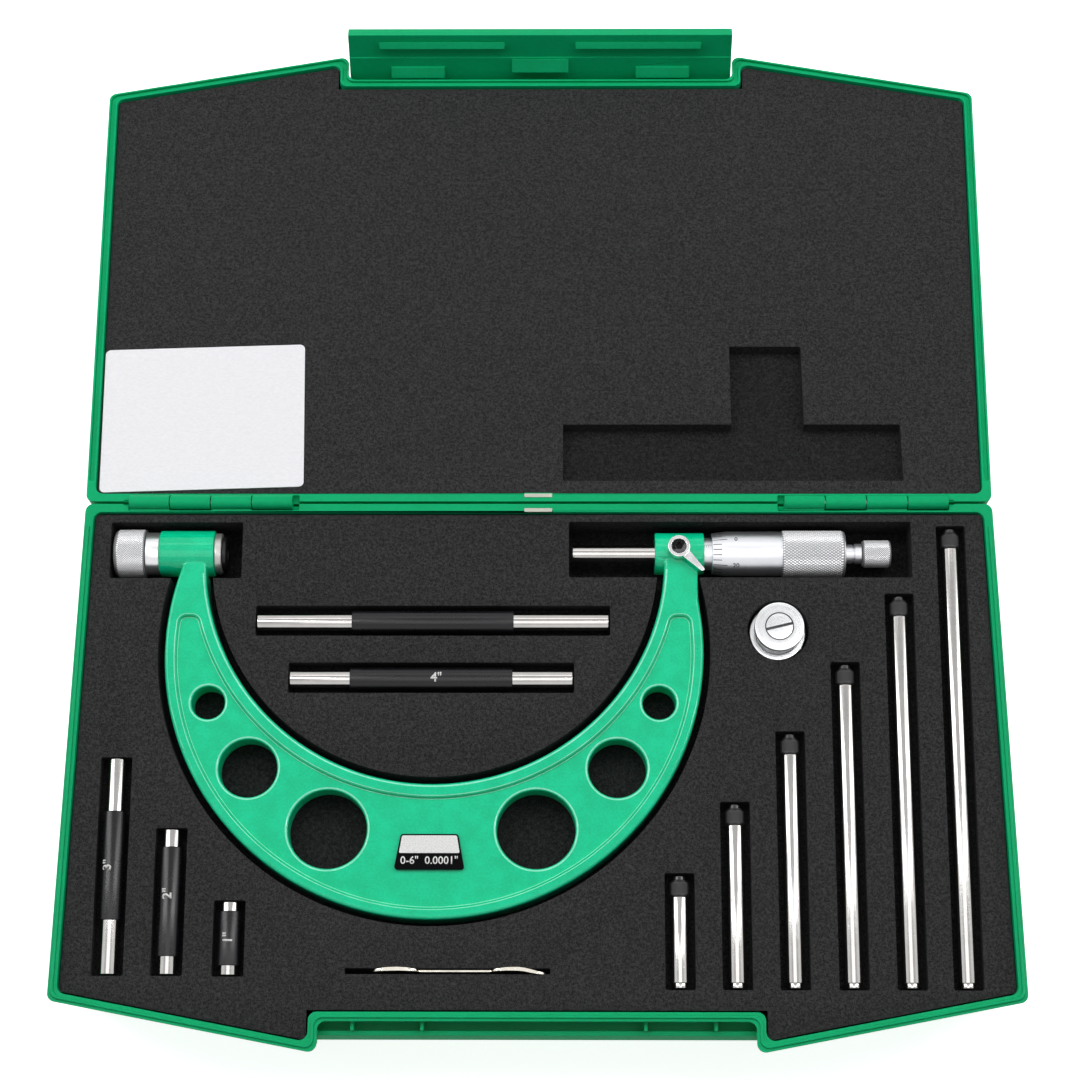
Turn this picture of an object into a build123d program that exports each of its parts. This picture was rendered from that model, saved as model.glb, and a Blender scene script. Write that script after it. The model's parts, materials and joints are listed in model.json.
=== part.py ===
from build123d import *
import os
from math import asin, atan2, cos, degrees, hypot, radians, sin, tan

# A hinged plastic case for a frame micrometer, modelled open, in millimetres.
# X runs along the hinge, +Y towards the lid and +Z up. The origin is on the table,
# under the middle of the base. "Reach" is the distance in front of the hinge line,
# and "depth" is the distance below the rim of a shell.

# ---------------------------------------------------------------- case sizes
INCH = 25.4
ROD_RADIUS = INCH / 8         # quarter-inch rod: spindle, anvils and setting standards
ANVIL_XS = (50.0, 69.9, 90.0, 110.4, 130.6, 150.1)    # shortest to longest
ANVIL_LENGTH = 39.2           # of the shortest; each next is an inch longer
ANVIL_HEAD_REACH = 9.4        # hinge line to the head of the longest
ANVIL_FOOT_REACH = ANVIL_HEAD_REACH + ANVIL_LENGTH + INCH * (len(ANVIL_XS) - 1)
FRONT_MARGIN = 11.8           # from the anvils' feet to the back of the latch recess
RECESS_REACH = ANVIL_FOOT_REACH + FRONT_MARGIN
RECESS_DEPTH = 11.1           # how far the shoulders stand in front of it
SHOULDER_REACH = RECESS_REACH + RECESS_DEPTH
CORNER_SETBACK = 18.1         # the front corners lie this far behind the shoulders
SIDE_REACH = SHOULDER_REACH - CORNER_SETBACK
SIDE_MARGIN = 15.5            # from the longest anvil's axis to the side of the shells
REAR_HALF_WIDTH = ANVIL_XS[-1] + SIDE_MARGIN    # of the shells at the hinge
FRONT_FLARE = 4.75            # the front corners lie this much further out
FRONT_HALF_WIDTH = REAR_HALF_WIDTH + FRONT_FLARE
RECESS_HALF_WIDTH = 76.0
HINGE_GAP = 0.4               # from the hinge line to each rear wall
CORNER_RADIUS = 3.0
BASE_HEIGHT = 46.8
LID_HEIGHT = 13.5
RIM_WIDTH = 3.3
PANEL = 2.4                   # floor of the base and top of the lid
DRAFT = 5.0                   # slope of every outer wall, degrees
RIM_CLEARANCE = 0.15          # each rim stops short of the parting plane by this
TABLE_CLEARANCE = 0.1         # below the edge that the open lid leans on

TONGUE_INSET = 1.15
TONGUE_WIDTH = 1.0
TONGUE_HEIGHT = 0.9
TONGUE_REACH = 9.0            # tongue and groove stop this far from the hinge line
GROOVE_CLEARANCE = 0.25

# ---------------------------------------------------------------- hinge
HINGE_CENTRE = 119.6          # middle of each hinge, left and right
HINGE_LENGTH = 60.0
KNUCKLE_COUNT = 4
KNUCKLE_RADIUS = 2.55
KNUCKLE_CLEARANCE = 0.4
KNUCKLE_GAP = 0.3
NOTCH_EXTRA = 2.0             # open end of the notch, towards the middle
PIN_RADIUS = 1.0
PIN_CLEARANCE = 0.05
PAD_LENGTH = 10.2
PAD_WIDTH = 1.5
PAD_THICKNESS = 1.0
PAD_REACH = 2.9
PAD_RISE = 0.1

# ---------------------------------------------------------------- latch
PIVOT_SETOUT = 2.2            # from the back of the recess to the flap's pivot
PIVOT_REACH = RECESS_REACH + PIVOT_SETOUT
PIVOT_DEPTH = 10.5
FLAP_LEAN = 18.0              # leans out of the lid by this at rest, degrees
FLAP_END_GAP = 0.5
FLAP_HALF_LENGTH = RECESS_HALF_WIDTH - FLAP_END_GAP
FLAP_HEIGHT = 27.2            # pivot to free edge
FLAP_THICKNESS = 2.2
FLAP_KNUCKLE_RADIUS = 2.0
LIP_DEPTH = 4.4
LIP_THICKNESS = 1.8
TRUNNION_RADIUS = 1.5
TRUNNION_LENGTH = 3.2
HOOK_CENTRE = 38.6
HOOK_LENGTH = 49.4
HOOK_HEIGHT = 21.6            # from the pivot to the hooking face
HOOK_THICKNESS = 1.9
HOOK_DEPTH = 1.7
BLOCK_LENGTH = 22.4
BLOCK_HEIGHT = 11.0
BLOCK_THICKNESS = 4.9
BLOCK_DEPTH = 2.6
TAB_CENTRE = 48.4
TAB_LENGTH = 21.2
TAB_HEIGHT = 8.2
TAB_THICKNESS = 4.4
TAB_DEPTH = 1.2
STEP_TOP = 16.7
STEP_DEPTH = 0.4
LEDGE_TOP = 6.6               # depths of the ledge that the hooks catch
LEDGE_BOTTOM = 10.6
LEDGE_WEB = 1.2
LEDGE_SETOUT = 2.5            # from the back of the recess to its upright bar
LEDGE_THICKNESS = 1.7         # of the bar at its top
LEDGE_SLOPE = 1.3             # the bar's front leans out by this
LEDGE_BAR_REACH = RECESS_REACH + LEDGE_SETOUT
LEDGE_TOP_REACH = LEDGE_BAR_REACH + LEDGE_THICKNESS
LEDGE_FRONT_REACH = LEDGE_TOP_REACH + LEDGE_SLOPE
GUSSET_CENTRES = (-64.2, -39.9, 37.8, 62.2)
GUSSET_THICKNESS = 1.3
GUSSET_DEPTH = 3.2

# ---------------------------------------------------------------- foam
FOAM_DEPTH = 1.5              # foam surfaces lie this far below the rims
FOAM_GAP = 0.5                # all round, to the walls
SEAT_DEPTH = 8.2              # where the two foam layers of the base meet
SEAT_GAP = 0.25               # under each loose piece
POCKET_CLEARANCE = 2.4        # round the micrometer's frame
RELIEF_DEPTH = 5.5            # T-shaped relief in the lid foam
RELIEF_BAR = (9.0, 134.0, 9.6, 33.0)      # x from, x to, reach from, reach to
RELIEF_STEM = (71.5, 98.4, 33.0, 66.2)
CARD_SIZE = (75.0, 60.0)
CARD_CENTRE = (-124.7, 35.8)
CARD_THICKNESS = 0.4
CARD_RADIUS = 2.0
CARD_TURN = 1.9               # lies square to the side wall, degrees

# ---------------------------------------------------------------- micrometer
MIC_REACH = 17.3              # measuring axis
MIC_DEPTH = 8.3
FRAME_THICKNESS = 13.6
FRAME_OUTER = (-37.45, 54.8, 97.2)        # x, reach, radius
FRAME_INNER = (-37.5, 20.4, 83.4)
FRAME_CHAMFER = 0.8
ARM_PATCH = ((50.0, 20.0), (57.6, 20.0), (58.0, 33.0), (57.2, 40.0), (50.0, 40.0))
BAND_OUTER = 4.2
BAND_INNER = 5.0
WEB_REACH = 42.3
WEB_DEPTH = 1.6
WEB_RADIUS = 2.8
HOLES = ((81.0, 74.1, 5.95), (65.9, 98.0, 10.45), (37.0, 119.9, 14.0))
HOLE_CHAMFER = 0.6
LEFT_BOSS_X = -138.2
LEFT_BOSS_LENGTH = 20.0
LEFT_BOSS_RADIUS = 8.45
RIGHT_BOSS_X = 42.5
RIGHT_BOSS_LENGTH = 18.0
RIGHT_BOSS_RADIUS = 7.65
EDGE_BREAK = 0.4              # chamfer on the edges of turned pieces
ROD_BREAK = 0.3               # chamfer on the ends of rods and sleeves
FIT = 0.02                    # between pieces that are pressed or screwed together
RUNNING_FIT = 0.08            # radial, between pieces that turn in each other
ANVIL_BORE_RADIUS = ROD_RADIUS + FIT
BUSH_RADIUS = 5.5
BUSH_FLANGE_RADIUS = 7.5
BUSH_FLANGE = 2.6
NOSE_RADIUS = 6.3
NOSE_LENGTH = 1.6
CLAMP_RING_RADIUS = 7.8
CLAMP_RING_LENGTH = 5.2
CLAMP_KNOB_RADIUS = 8.9
CLAMP_KNOB_LENGTH = 11.4
CLAMP_KNOB_FACE_RADIUS = 7.3
CLAMP_KNOB_ROUND = 1.4        # length of the rounding behind its end face
CLAMP_KNOB_ROUND_DEPTH = 0.6
CLAMP_THREAD_LENGTH = 6.4
SPINDLE_X = 12.5
SPINDLE_RADIUS = ROD_RADIUS
THREAD_RADIUS = 3.5
THREAD_X = 63.5
SPINDLE_END_X = 111.6
GUIDE_RADIUS = 4.7
BARREL_RADIUS = 5.95
BARREL_SOCKET = 7.0           # length of the barrel inside the right boss
BARREL_BORE_RADIUS = 4.4
BARREL_END_X = 104.0
NUT_LENGTH = 11.0
THIMBLE_X = 63.4
BEVEL_LENGTH = 5.1
BEVEL_RADIUS = 7.5
THIMBLE_RADIUS = 8.2
THIMBLE_BORE_RADIUS = 6.1
KNURL_X = 88.7
KNURL_RADIUS = 8.6
GROOVE_WIDTH = 0.4            # of the groove before the knurl, and its depth
THIMBLE_END_X = 112.0
THIMBLE_HUB = 3.6
STEM_RADIUS = 3.4
STEM_LENGTH = 6.2
STEM_PEG_RADIUS = 1.6
STEM_PEG_LENGTH = 9.2
RATCHET_RADIUS = 5.0
RATCHET_LENGTH = 10.4
RATCHET_GAP = 0.15
SPRING_RADIUS = 2.3
SPRING_WIRE = 0.3
SPRING_TURNS = 4
LEVER_X = 51.1
LEVER_HUB_RADIUS = 4.0
LEVER_HUB_HEIGHT = 3.4
LEVER_LENGTH = 12.0
LEVER_TIP_RADIUS = 0.7
LEVER_ARM_HEIGHT = 1.1
LEVER_ARM_THICKNESS = 1.8
LEVER_TURN = -45.6            # degrees from +X, seen from above
LEVER_SEAT_RISE = 0.2         # of its seat above the boss
LEVER_GAP = 0.1
LOCK_HEAD_RADIUS = 2.6
LOCK_HEAD_HEIGHT = 2.2
LOCK_HEAD_SINK = 2.0
LOCK_SHANK_RADIUS = 1.5
LOCK_SOCKET = 1.45            # across the hexagon's corners, halved
PLATE_SETBACK = 18.0          # from the frame's inner curve
PLATE_REACH = FRAME_INNER[1] + FRAME_INNER[2] + PLATE_SETBACK
PLATE_HEIGHT = 12.5
PLATE_TOP_WIDTH = 20.3
PLATE_FOOT_WIDTH = 24.9
PLATE_THICKNESS = 1.5
PLATE_X = -38.1
PLATE_RADIUS = 1.0

# ---------------------------------------------------------------- loose pieces
ANVIL_RADIUS = ROD_RADIUS
ANVIL_SHANK_RADIUS = 2.1
ANVIL_STUB = 1.4
ANVIL_TIP_RADIUS = 2.6
ANVIL_TIP_LENGTH = 1.8
COLLAR_RADIUS = 3.4
COLLAR_LENGTH = 6.1
ANVIL_SLOT_HALF_WIDTH = 5.3
ANVIL_SLOT_CLEARANCE = 0.8
STANDARD_RADIUS = ROD_RADIUS
SLEEVE_RADIUS = 4.1
STANDARD_SLOT_HALF_WIDTH = 5.6
STANDARD_SLOT_CLEARANCE = 0.6
STANDARD_COUNT = 5
# For 1 inch, 2 inches and so on: middle x, middle reach and length of the sleeve.
STANDARD_SPOTS = (
    (-107.9, 158.7, 19.0),
    (-129.3, 145.8, 38.5),
    (-150.0, 133.1, 38.5),
    (-38.3, 65.3, 58.5),
    (-38.0, 44.2, 58.5),
)
STANDARDS_ACROSS = (False, False, False, True, True)
LEFT_SLOT = (-155.9, -107.8, 7.2, 28.3)   # x from, x to, reach from, reach to
RIGHT_SLOT = (11.2, 135.8, 7.0, 28.0)
SPOOL_X = 86.7
SPOOL_REACH = 47.65
SPOOL_RING_RADIUS = 10.25
SPOOL_RING_HEIGHT = 2.6
SPOOL_NECK_RADIUS = 7.0
SPOOL_NECK_SLOPE = 1.2
SPOOL_DISC_RADIUS = 8.9
SPOOL_DISC_HEIGHT = 3.4
SPOOL_HEIGHT = 12.3
SPOOL_SCREW_RADIUS = 4.8
SPOOL_SCREW_HEAD = 2.4
SPOOL_SHANK_RADIUS = 3.0
SPOOL_SLOT_WIDTH = 1.0
SPOOL_SLOT_TURN = 13.5
SPOOL_POCKET_CLEARANCE = 0.8
SPANNER_X = -57.8
SPANNER_LENGTH = 61.4
SPANNER_SETBACK = 17.4        # from the back of the latch recess
SPANNER_REACH = RECESS_REACH - SPANNER_SETBACK
SPANNER_THICKNESS = 0.9
SPANNER_HEAD_THICKNESS = 1.9
SPANNER_LEFT_HEAD = 17.0
SPANNER_RIGHT_HEAD = 20.0
SPANNER_HEAD_HEIGHT = 12.0
SPANNER_HANDLE_HEIGHT = 7.0
SPANNER_RISE = 1.0            # heads stand this far above the foam
SPANNER_TAIL_ROOM = 9.2       # empty slit beyond the left head
SPANNER_SLIT_CLEARANCE = 0.5

# ---------------------------------------------------------------- frames of reference
HINGE_Y = (SHOULDER_REACH + HINGE_GAP) / 2
LID_EDGE_REACH = SHOULDER_REACH - LID_HEIGHT * tan(radians(DRAFT))
LID_DROP = asin((BASE_HEIGHT - TABLE_CLEARANCE) / hypot(LID_EDGE_REACH, LID_HEIGHT))
LID_DROP = LID_DROP - atan2(LID_HEIGHT, LID_EDGE_REACH)

# Each plane has its origin on the hinge line, y along the reach and z along the depth.
HINGE_POINT = (0, HINGE_Y, BASE_HEIGHT)
base_plane = Plane(origin=HINGE_POINT, x_dir=(1, 0, 0), z_dir=(0, 0, -1))
lid_plane = Plane(origin=HINGE_POINT, x_dir=(-1, 0, 0), z_dir=(0, -sin(LID_DROP), -cos(LID_DROP)))

lean = LID_DROP + radians(FLAP_LEAN)
pivot_point = lid_plane.from_local_coords(Vector(0, PIVOT_REACH, PIVOT_DEPTH))
flap_plane = Plane(origin=pivot_point, x_dir=(0, cos(lean), -sin(lean)), z_dir=(1, 0, 0))


def taper(depth):
    """How far a drafted wall has moved in at this depth."""
    return depth * tan(radians(DRAFT))


def case_plan(plane, depth, inset):
    """The outline of a shell at a depth, moved in by the draft and by the inset."""
    points = [
        (REAR_HALF_WIDTH, HINGE_GAP),
        (FRONT_HALF_WIDTH, SIDE_REACH),
        (RECESS_HALF_WIDTH, SHOULDER_REACH),
        (RECESS_HALF_WIDTH, RECESS_REACH),
    ]
    mirrored = [(-x, reach) for x, reach in reversed(points)]
    with BuildSketch(plane.offset(depth)) as plan:
        with BuildLine():
            Polyline(*points, *mirrored, close=True)
        make_face()
        if abs(inset + taper(depth)) > 0.001:
            offset(amount=-inset - taper(depth), kind=Kind.INTERSECTION)
        fillet(plan.vertices(), CORNER_RADIUS)
    return plan.sketch.faces()[0]


def case_block(plane, depth_from, depth_to, inset):
    """A block with drafted walls between two depths of a shell."""
    with BuildPart() as block:
        loft(sections=[case_plan(plane, depth_from, inset), case_plan(plane, depth_to, inset)])
    return block.part


def rim_ring(plane, depth, inset, width, height):
    """A ridge that follows the rim, from the sides round the front."""
    with BuildPart() as ring:
        with BuildSketch(plane.offset(depth)):
            add(case_plan(Plane.XY, 0, inset))
            add(case_plan(Plane.XY, 0, inset + width), mode=Mode.SUBTRACT)
        extrude(amount=height)
        with BuildSketch(plane.offset(depth)):
            Rectangle(2 * FRONT_HALF_WIDTH, 2 * TONGUE_REACH)
        extrude(amount=height, mode=Mode.SUBTRACT)
    return ring.part


def knuckle_starts(side, owner):
    """Where the knuckles of one shell begin along a hinge; owner 0 is the base, 1 the lid."""
    pitch = HINGE_LENGTH / KNUCKLE_COUNT
    first = side * HINGE_CENTRE - HINGE_LENGTH / 2
    return [first + pitch * k for k in range(KNUCKLE_COUNT) if k % 2 == owner]


def hinge_notches(plane):
    """Room in a rear wall for both hinges."""
    with BuildPart() as notches:
        for side in (-1, 1):
            centre = side * (HINGE_CENTRE - NOTCH_EXTRA / 2)
            length = HINGE_LENGTH + NOTCH_EXTRA + KNUCKLE_GAP
            with Locations(plane.location * Location((centre, 0, 0), (0, 90, 0))):
                Cylinder(KNUCKLE_RADIUS + KNUCKLE_CLEARANCE, length)
    return notches.part


def hinge_knuckles(plane, starts):
    """Knuckles that stand on a rear wall, not yet bored."""
    length = HINGE_LENGTH / KNUCKLE_COUNT - KNUCKLE_GAP
    web_reach = HINGE_GAP + RIM_WIDTH
    web_depth = KNUCKLE_RADIUS + KNUCKLE_CLEARANCE
    with BuildPart() as knuckles:
        for start in starts:
            middle = start + HINGE_LENGTH / KNUCKLE_COUNT / 2
            with Locations(plane.location * Location((middle, 0, 0), (0, 90, 0))):
                Cylinder(KNUCKLE_RADIUS, length)
            corner = Location((middle, web_reach / 2, (web_depth + RIM_CLEARANCE) / 2))
            with Locations(plane.location * corner):
                Box(length, web_reach, web_depth - RIM_CLEARANCE)
    return knuckles.part


def hinge_bores(plane, radius):
    """Both hinge lines as plain rods."""
    with BuildPart() as bores:
        for side in (-1, 1):
            with Locations(plane.location * Location((side * HINGE_CENTRE, 0, 0), (0, 90, 0))):
                Cylinder(radius, HINGE_LENGTH + 2 * NOTCH_EXTRA)
    return bores.part


def pad_box(plane, rise):
    """The small stop pad at the middle of a rear rim, standing proud by its rise."""
    with BuildPart() as pad:
        place = Location((0, PAD_REACH, RIM_CLEARANCE - rise + PAD_THICKNESS / 2))
        with Locations(plane.location * place):
            Box(PAD_LENGTH, PAD_WIDTH, PAD_THICKNESS)
    return pad.part


def write_piece(builder, name):
    """Label a finished piece and write its STEP file."""
    builder.part.label = name
    export_step(builder.part, f"parts/{name}.step")


def turned(profile, plane):
    """A round piece: (along, radius) points spun about the plane's x axis."""
    with BuildPart() as piece:
        with BuildSketch(plane):
            with BuildLine():
                Polyline(*profile, close=True)
            make_face()
        revolve(axis=Axis(plane.origin, plane.x_dir))
    return piece


os.makedirs("parts", exist_ok=True)

# ---------------------------------------------------------------- base shell
with BuildPart() as base_shell:
    add(case_block(base_plane, RIM_CLEARANCE, BASE_HEIGHT, 0))
    add(case_block(base_plane, -PANEL, BASE_HEIGHT - PANEL, RIM_WIDTH), mode=Mode.SUBTRACT)
    add(rim_ring(base_plane, RIM_CLEARANCE - TONGUE_HEIGHT, TONGUE_INSET, TONGUE_WIDTH,
                 TONGUE_HEIGHT))
    # The ledge in the latch recess: a web from the wall and a bar with a sloping front.
    web_foot = RECESS_REACH - RIM_WIDTH / 2 - taper(LEDGE_BOTTOM)
    with BuildSketch(Plane(base_plane.origin, x_dir=(0, -1, 0), z_dir=(1, 0, 0))):
        with BuildLine():
            Polyline(
                (web_foot, LEDGE_BOTTOM),
                (LEDGE_FRONT_REACH, LEDGE_BOTTOM),
                (LEDGE_TOP_REACH, LEDGE_TOP),
                (LEDGE_BAR_REACH, LEDGE_TOP),
                (LEDGE_BAR_REACH, LEDGE_BOTTOM - LEDGE_WEB),
                (web_foot, LEDGE_BOTTOM - LEDGE_WEB),
                close=True,
            )
        make_face()
    extrude(amount=RECESS_HALF_WIDTH + RIM_WIDTH / 2, both=True)
    for gusset_x in GUSSET_CENTRES:
        gusset_height = LEDGE_BOTTOM - LEDGE_WEB / 2 - GUSSET_DEPTH
        gusset_reach = LEDGE_BAR_REACH - RECESS_REACH + RIM_WIDTH / 2 + RIM_WIDTH / 4
        gusset_middle = LEDGE_BAR_REACH - gusset_reach / 2 + LEDGE_WEB / 4
        spot = Location((gusset_x, gusset_middle, GUSSET_DEPTH + gusset_height / 2))
        with Locations(base_plane.location * spot):
            Box(GUSSET_THICKNESS, gusset_reach, gusset_height)
    add(hinge_notches(base_plane), mode=Mode.SUBTRACT)
    add(hinge_knuckles(base_plane, knuckle_starts(-1, 0) + knuckle_starts(1, 0)))
    add(hinge_bores(base_plane, PIN_RADIUS + PIN_CLEARANCE), mode=Mode.SUBTRACT)
    add(pad_box(base_plane, PAD_THICKNESS / 2), mode=Mode.SUBTRACT)
    add(pad_box(base_plane, 0), mode=Mode.SUBTRACT)
write_piece(base_shell, "base_shell")

with BuildPart() as base_stop_pad:
    add(pad_box(base_plane, PAD_RISE))
write_piece(base_stop_pad, "base_stop_pad")

# ---------------------------------------------------------------- lid shell
lid_owned = [-start - HINGE_LENGTH / KNUCKLE_COUNT
             for start in knuckle_starts(-1, 1) + knuckle_starts(1, 1)]

with BuildPart() as lid_shell:
    add(case_block(lid_plane, RIM_CLEARANCE, LID_HEIGHT, 0))
    add(case_block(lid_plane, -PANEL, LID_HEIGHT - PANEL, RIM_WIDTH), mode=Mode.SUBTRACT)
    add(rim_ring(lid_plane, RIM_CLEARANCE, TONGUE_INSET - GROOVE_CLEARANCE,
                 TONGUE_WIDTH + 2 * GROOVE_CLEARANCE, TONGUE_HEIGHT + GROOVE_CLEARANCE),
        mode=Mode.SUBTRACT)
    add(hinge_notches(lid_plane), mode=Mode.SUBTRACT)
    add(hinge_knuckles(lid_plane, lid_owned))
    add(hinge_bores(lid_plane, PIN_RADIUS + PIN_CLEARANCE), mode=Mode.SUBTRACT)
    add(pad_box(lid_plane, PAD_THICKNESS / 2), mode=Mode.SUBTRACT)
    add(pad_box(lid_plane, 0), mode=Mode.SUBTRACT)
    # Blind holes for the flap's trunnions, in the side walls of the recess.
    trunnion_reach = FLAP_HALF_LENGTH + TRUNNION_LENGTH + KNUCKLE_GAP
    with Locations(lid_plane.location * Location((0, PIVOT_REACH, PIVOT_DEPTH), (0, 90, 0))):
        Cylinder(TRUNNION_RADIUS + RUNNING_FIT, 2 * trunnion_reach, mode=Mode.SUBTRACT)
write_piece(lid_shell, "lid_shell")

with BuildPart() as lid_stop_pad:
    add(pad_box(lid_plane, PAD_RISE))
write_piece(lid_stop_pad, "lid_stop_pad")

# ---------------------------------------------------------------- hinge pins
for side, name in ((-1, "left_hinge_pin"), (1, "right_hinge_pin")):
    with BuildPart() as hinge_pin:
        with Locations(base_plane.location * Location((side * HINGE_CENTRE, 0, 0), (0, 90, 0))):
            Cylinder(PIN_RADIUS, HINGE_LENGTH - 2 * KNUCKLE_GAP)
    write_piece(hinge_pin, name)

# ---------------------------------------------------------------- latch flap
inner_face = -FLAP_THICKNESS / 2


def flap_rib(centre, length, depth, height, thickness):
    """A rib on the inner face of the flap."""
    with BuildPart() as rib:
        with BuildSketch(flap_plane.offset(centre - length / 2)):
            with Locations((inner_face - depth / 2 + FLAP_THICKNESS / 4, height + thickness / 2)):
                Rectangle(depth + FLAP_THICKNESS / 2, thickness)
        extrude(amount=length)
    return rib.part


with BuildPart() as latch_flap:
    with BuildSketch(flap_plane.offset(-FLAP_HALF_LENGTH)):
        with BuildLine():
            Polyline(
                (inner_face, 0),
                (inner_face, FLAP_HEIGHT),
                (inner_face + LIP_DEPTH, FLAP_HEIGHT),
                (inner_face + LIP_DEPTH, FLAP_HEIGHT - LIP_THICKNESS),
                (-inner_face, FLAP_HEIGHT - LIP_THICKNESS),
                (-inner_face, 0),
                close=True,
            )
        make_face()
        Circle(FLAP_KNUCKLE_RADIUS)
    extrude(amount=2 * FLAP_HALF_LENGTH)
    add(flap_rib(0, 2 * FLAP_HALF_LENGTH, STEP_DEPTH, FLAP_KNUCKLE_RADIUS,
                 STEP_TOP - FLAP_KNUCKLE_RADIUS))
    for side in (-1, 1):
        add(flap_rib(side * HOOK_CENTRE, HOOK_LENGTH, HOOK_DEPTH, HOOK_HEIGHT, HOOK_THICKNESS))
        add(flap_rib(side * TAB_CENTRE, TAB_LENGTH, TAB_DEPTH, TAB_HEIGHT, TAB_THICKNESS))
    add(flap_rib(0, BLOCK_LENGTH, BLOCK_DEPTH, BLOCK_HEIGHT, BLOCK_THICKNESS))
    with BuildSketch(flap_plane.offset(-FLAP_HALF_LENGTH - TRUNNION_LENGTH)):
        Circle(TRUNNION_RADIUS)
    extrude(amount=2 * (FLAP_HALF_LENGTH + TRUNNION_LENGTH))
write_piece(latch_flap, "latch_flap")


# ---------------------------------------------------------------- where the contents lie
def slot(reach_from, reach_to, x_from, x_to):
    """A straight-sided slot as a plan sketch on the hinge plane of the base."""
    with BuildSketch() as plan:
        with Locations(((x_from + x_to) / 2, (reach_from + reach_to) / 2)):
            Rectangle(x_to - x_from, reach_to - reach_from)
    return plan.sketch


def crescent(outer_grow, inner_grow, reach_from):
    """The plan of the micrometer's frame between its two arcs, from a reach onwards."""
    outer_x, outer_reach, outer_radius = FRAME_OUTER
    inner_x, inner_reach, inner_radius = FRAME_INNER
    with BuildSketch() as plan:
        with Locations((outer_x, outer_reach)):
            Circle(outer_radius + outer_grow)
        with Locations((inner_x, inner_reach)):
            Circle(inner_radius - inner_grow, mode=Mode.SUBTRACT)
        with Locations((outer_x, reach_from - outer_radius)):
            Rectangle(4 * outer_radius, 2 * outer_radius, mode=Mode.SUBTRACT)
    return plan.sketch


anvil_lengths = [ANVIL_LENGTH + INCH * step for step in range(len(ANVIL_XS))]
anvil_slots = [
    slot(ANVIL_FOOT_REACH - length - ANVIL_SLOT_CLEARANCE, ANVIL_FOOT_REACH + ANVIL_SLOT_CLEARANCE,
         x - ANVIL_SLOT_HALF_WIDTH, x + ANVIL_SLOT_HALF_WIDTH)
    for x, length in zip(ANVIL_XS, anvil_lengths)
]
standards = [(inches, *STANDARD_SPOTS[inches - 1], STANDARDS_ACROSS[inches - 1])
             for inches in range(1, STANDARD_COUNT + 1)]
standard_slots = []
for inches, middle_x, middle_reach, sleeve_length, across in standards:
    half_length = inches * INCH / 2 + STANDARD_SLOT_CLEARANCE
    half_width = STANDARD_SLOT_HALF_WIDTH
    half_x, half_reach = (half_length, half_width) if across else (half_width, half_length)
    standard_slots.append(slot(middle_reach - half_reach, middle_reach + half_reach,
                               middle_x - half_x, middle_x + half_x))
boss_slots = [slot(near, far, left, right) for left, right, near, far in (LEFT_SLOT, RIGHT_SLOT)]
slit_half_width = SPANNER_HEAD_THICKNESS / 2 + SPANNER_SLIT_CLEARANCE
spanner_slit = slot(SPANNER_REACH - slit_half_width, SPANNER_REACH + slit_half_width,
                    SPANNER_X - SPANNER_TAIL_ROOM,
                    SPANNER_X + SPANNER_LENGTH + 2 * SPANNER_SLIT_CLEARANCE)
with BuildSketch() as spool_pocket:
    with Locations((SPOOL_X, SPOOL_REACH)):
        Circle(SPOOL_RING_RADIUS + SPOOL_POCKET_CLEARANCE)
frame_pocket = crescent(POCKET_CLEARANCE, POCKET_CLEARANCE, MIC_REACH)

# ---------------------------------------------------------------- foam
frame_bottom = MIC_DEPTH + FRAME_THICKNESS / 2
boss_floor = MIC_DEPTH + CLAMP_KNOB_RADIUS + SEAT_GAP
spanner_floor = FOAM_DEPTH - SPANNER_RISE + SPANNER_HEAD_HEIGHT + SEAT_GAP

with BuildPart() as base_foam_upper:
    add(case_block(base_plane, FOAM_DEPTH, SEAT_DEPTH, RIM_WIDTH + FOAM_GAP))
    with BuildSketch(base_plane):
        for plan in anvil_slots + standard_slots + boss_slots:
            add(plan)
        add(spanner_slit)
        add(spool_pocket.sketch)
        add(frame_pocket)
    extrude(amount=BASE_HEIGHT, mode=Mode.SUBTRACT)
write_piece(base_foam_upper, "base_foam_upper")

with BuildPart() as base_foam_lower:
    add(case_block(base_plane, SEAT_DEPTH, BASE_HEIGHT - PANEL, RIM_WIDTH + FOAM_GAP))
    with BuildSketch(base_plane):
        add(frame_pocket)
    extrude(amount=frame_bottom + SEAT_GAP, mode=Mode.SUBTRACT)
    with BuildSketch(base_plane):
        for plan in boss_slots:
            add(plan)
    extrude(amount=boss_floor, mode=Mode.SUBTRACT)
    with BuildSketch(base_plane):
        add(spanner_slit)
    extrude(amount=spanner_floor, mode=Mode.SUBTRACT)
write_piece(base_foam_lower, "base_foam_lower")

with BuildPart() as lid_foam:
    add(case_block(lid_plane, FOAM_DEPTH, LID_HEIGHT - PANEL, RIM_WIDTH + FOAM_GAP))
    with BuildSketch(lid_plane):
        for x_from, x_to, reach_from, reach_to in (RELIEF_BAR, RELIEF_STEM):
            add(slot(reach_from, reach_to, -x_to, -x_from))
    extrude(amount=FOAM_DEPTH + RELIEF_DEPTH, mode=Mode.SUBTRACT)
write_piece(lid_foam, "lid_foam")

with BuildPart() as card:
    with BuildSketch(lid_plane.offset(FOAM_DEPTH)):
        with Locations(Location((-CARD_CENTRE[0], CARD_CENTRE[1]), -CARD_TURN)):
            RectangleRounded(*CARD_SIZE, CARD_RADIUS)
    extrude(amount=-CARD_THICKNESS)
write_piece(card, "card")

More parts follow.
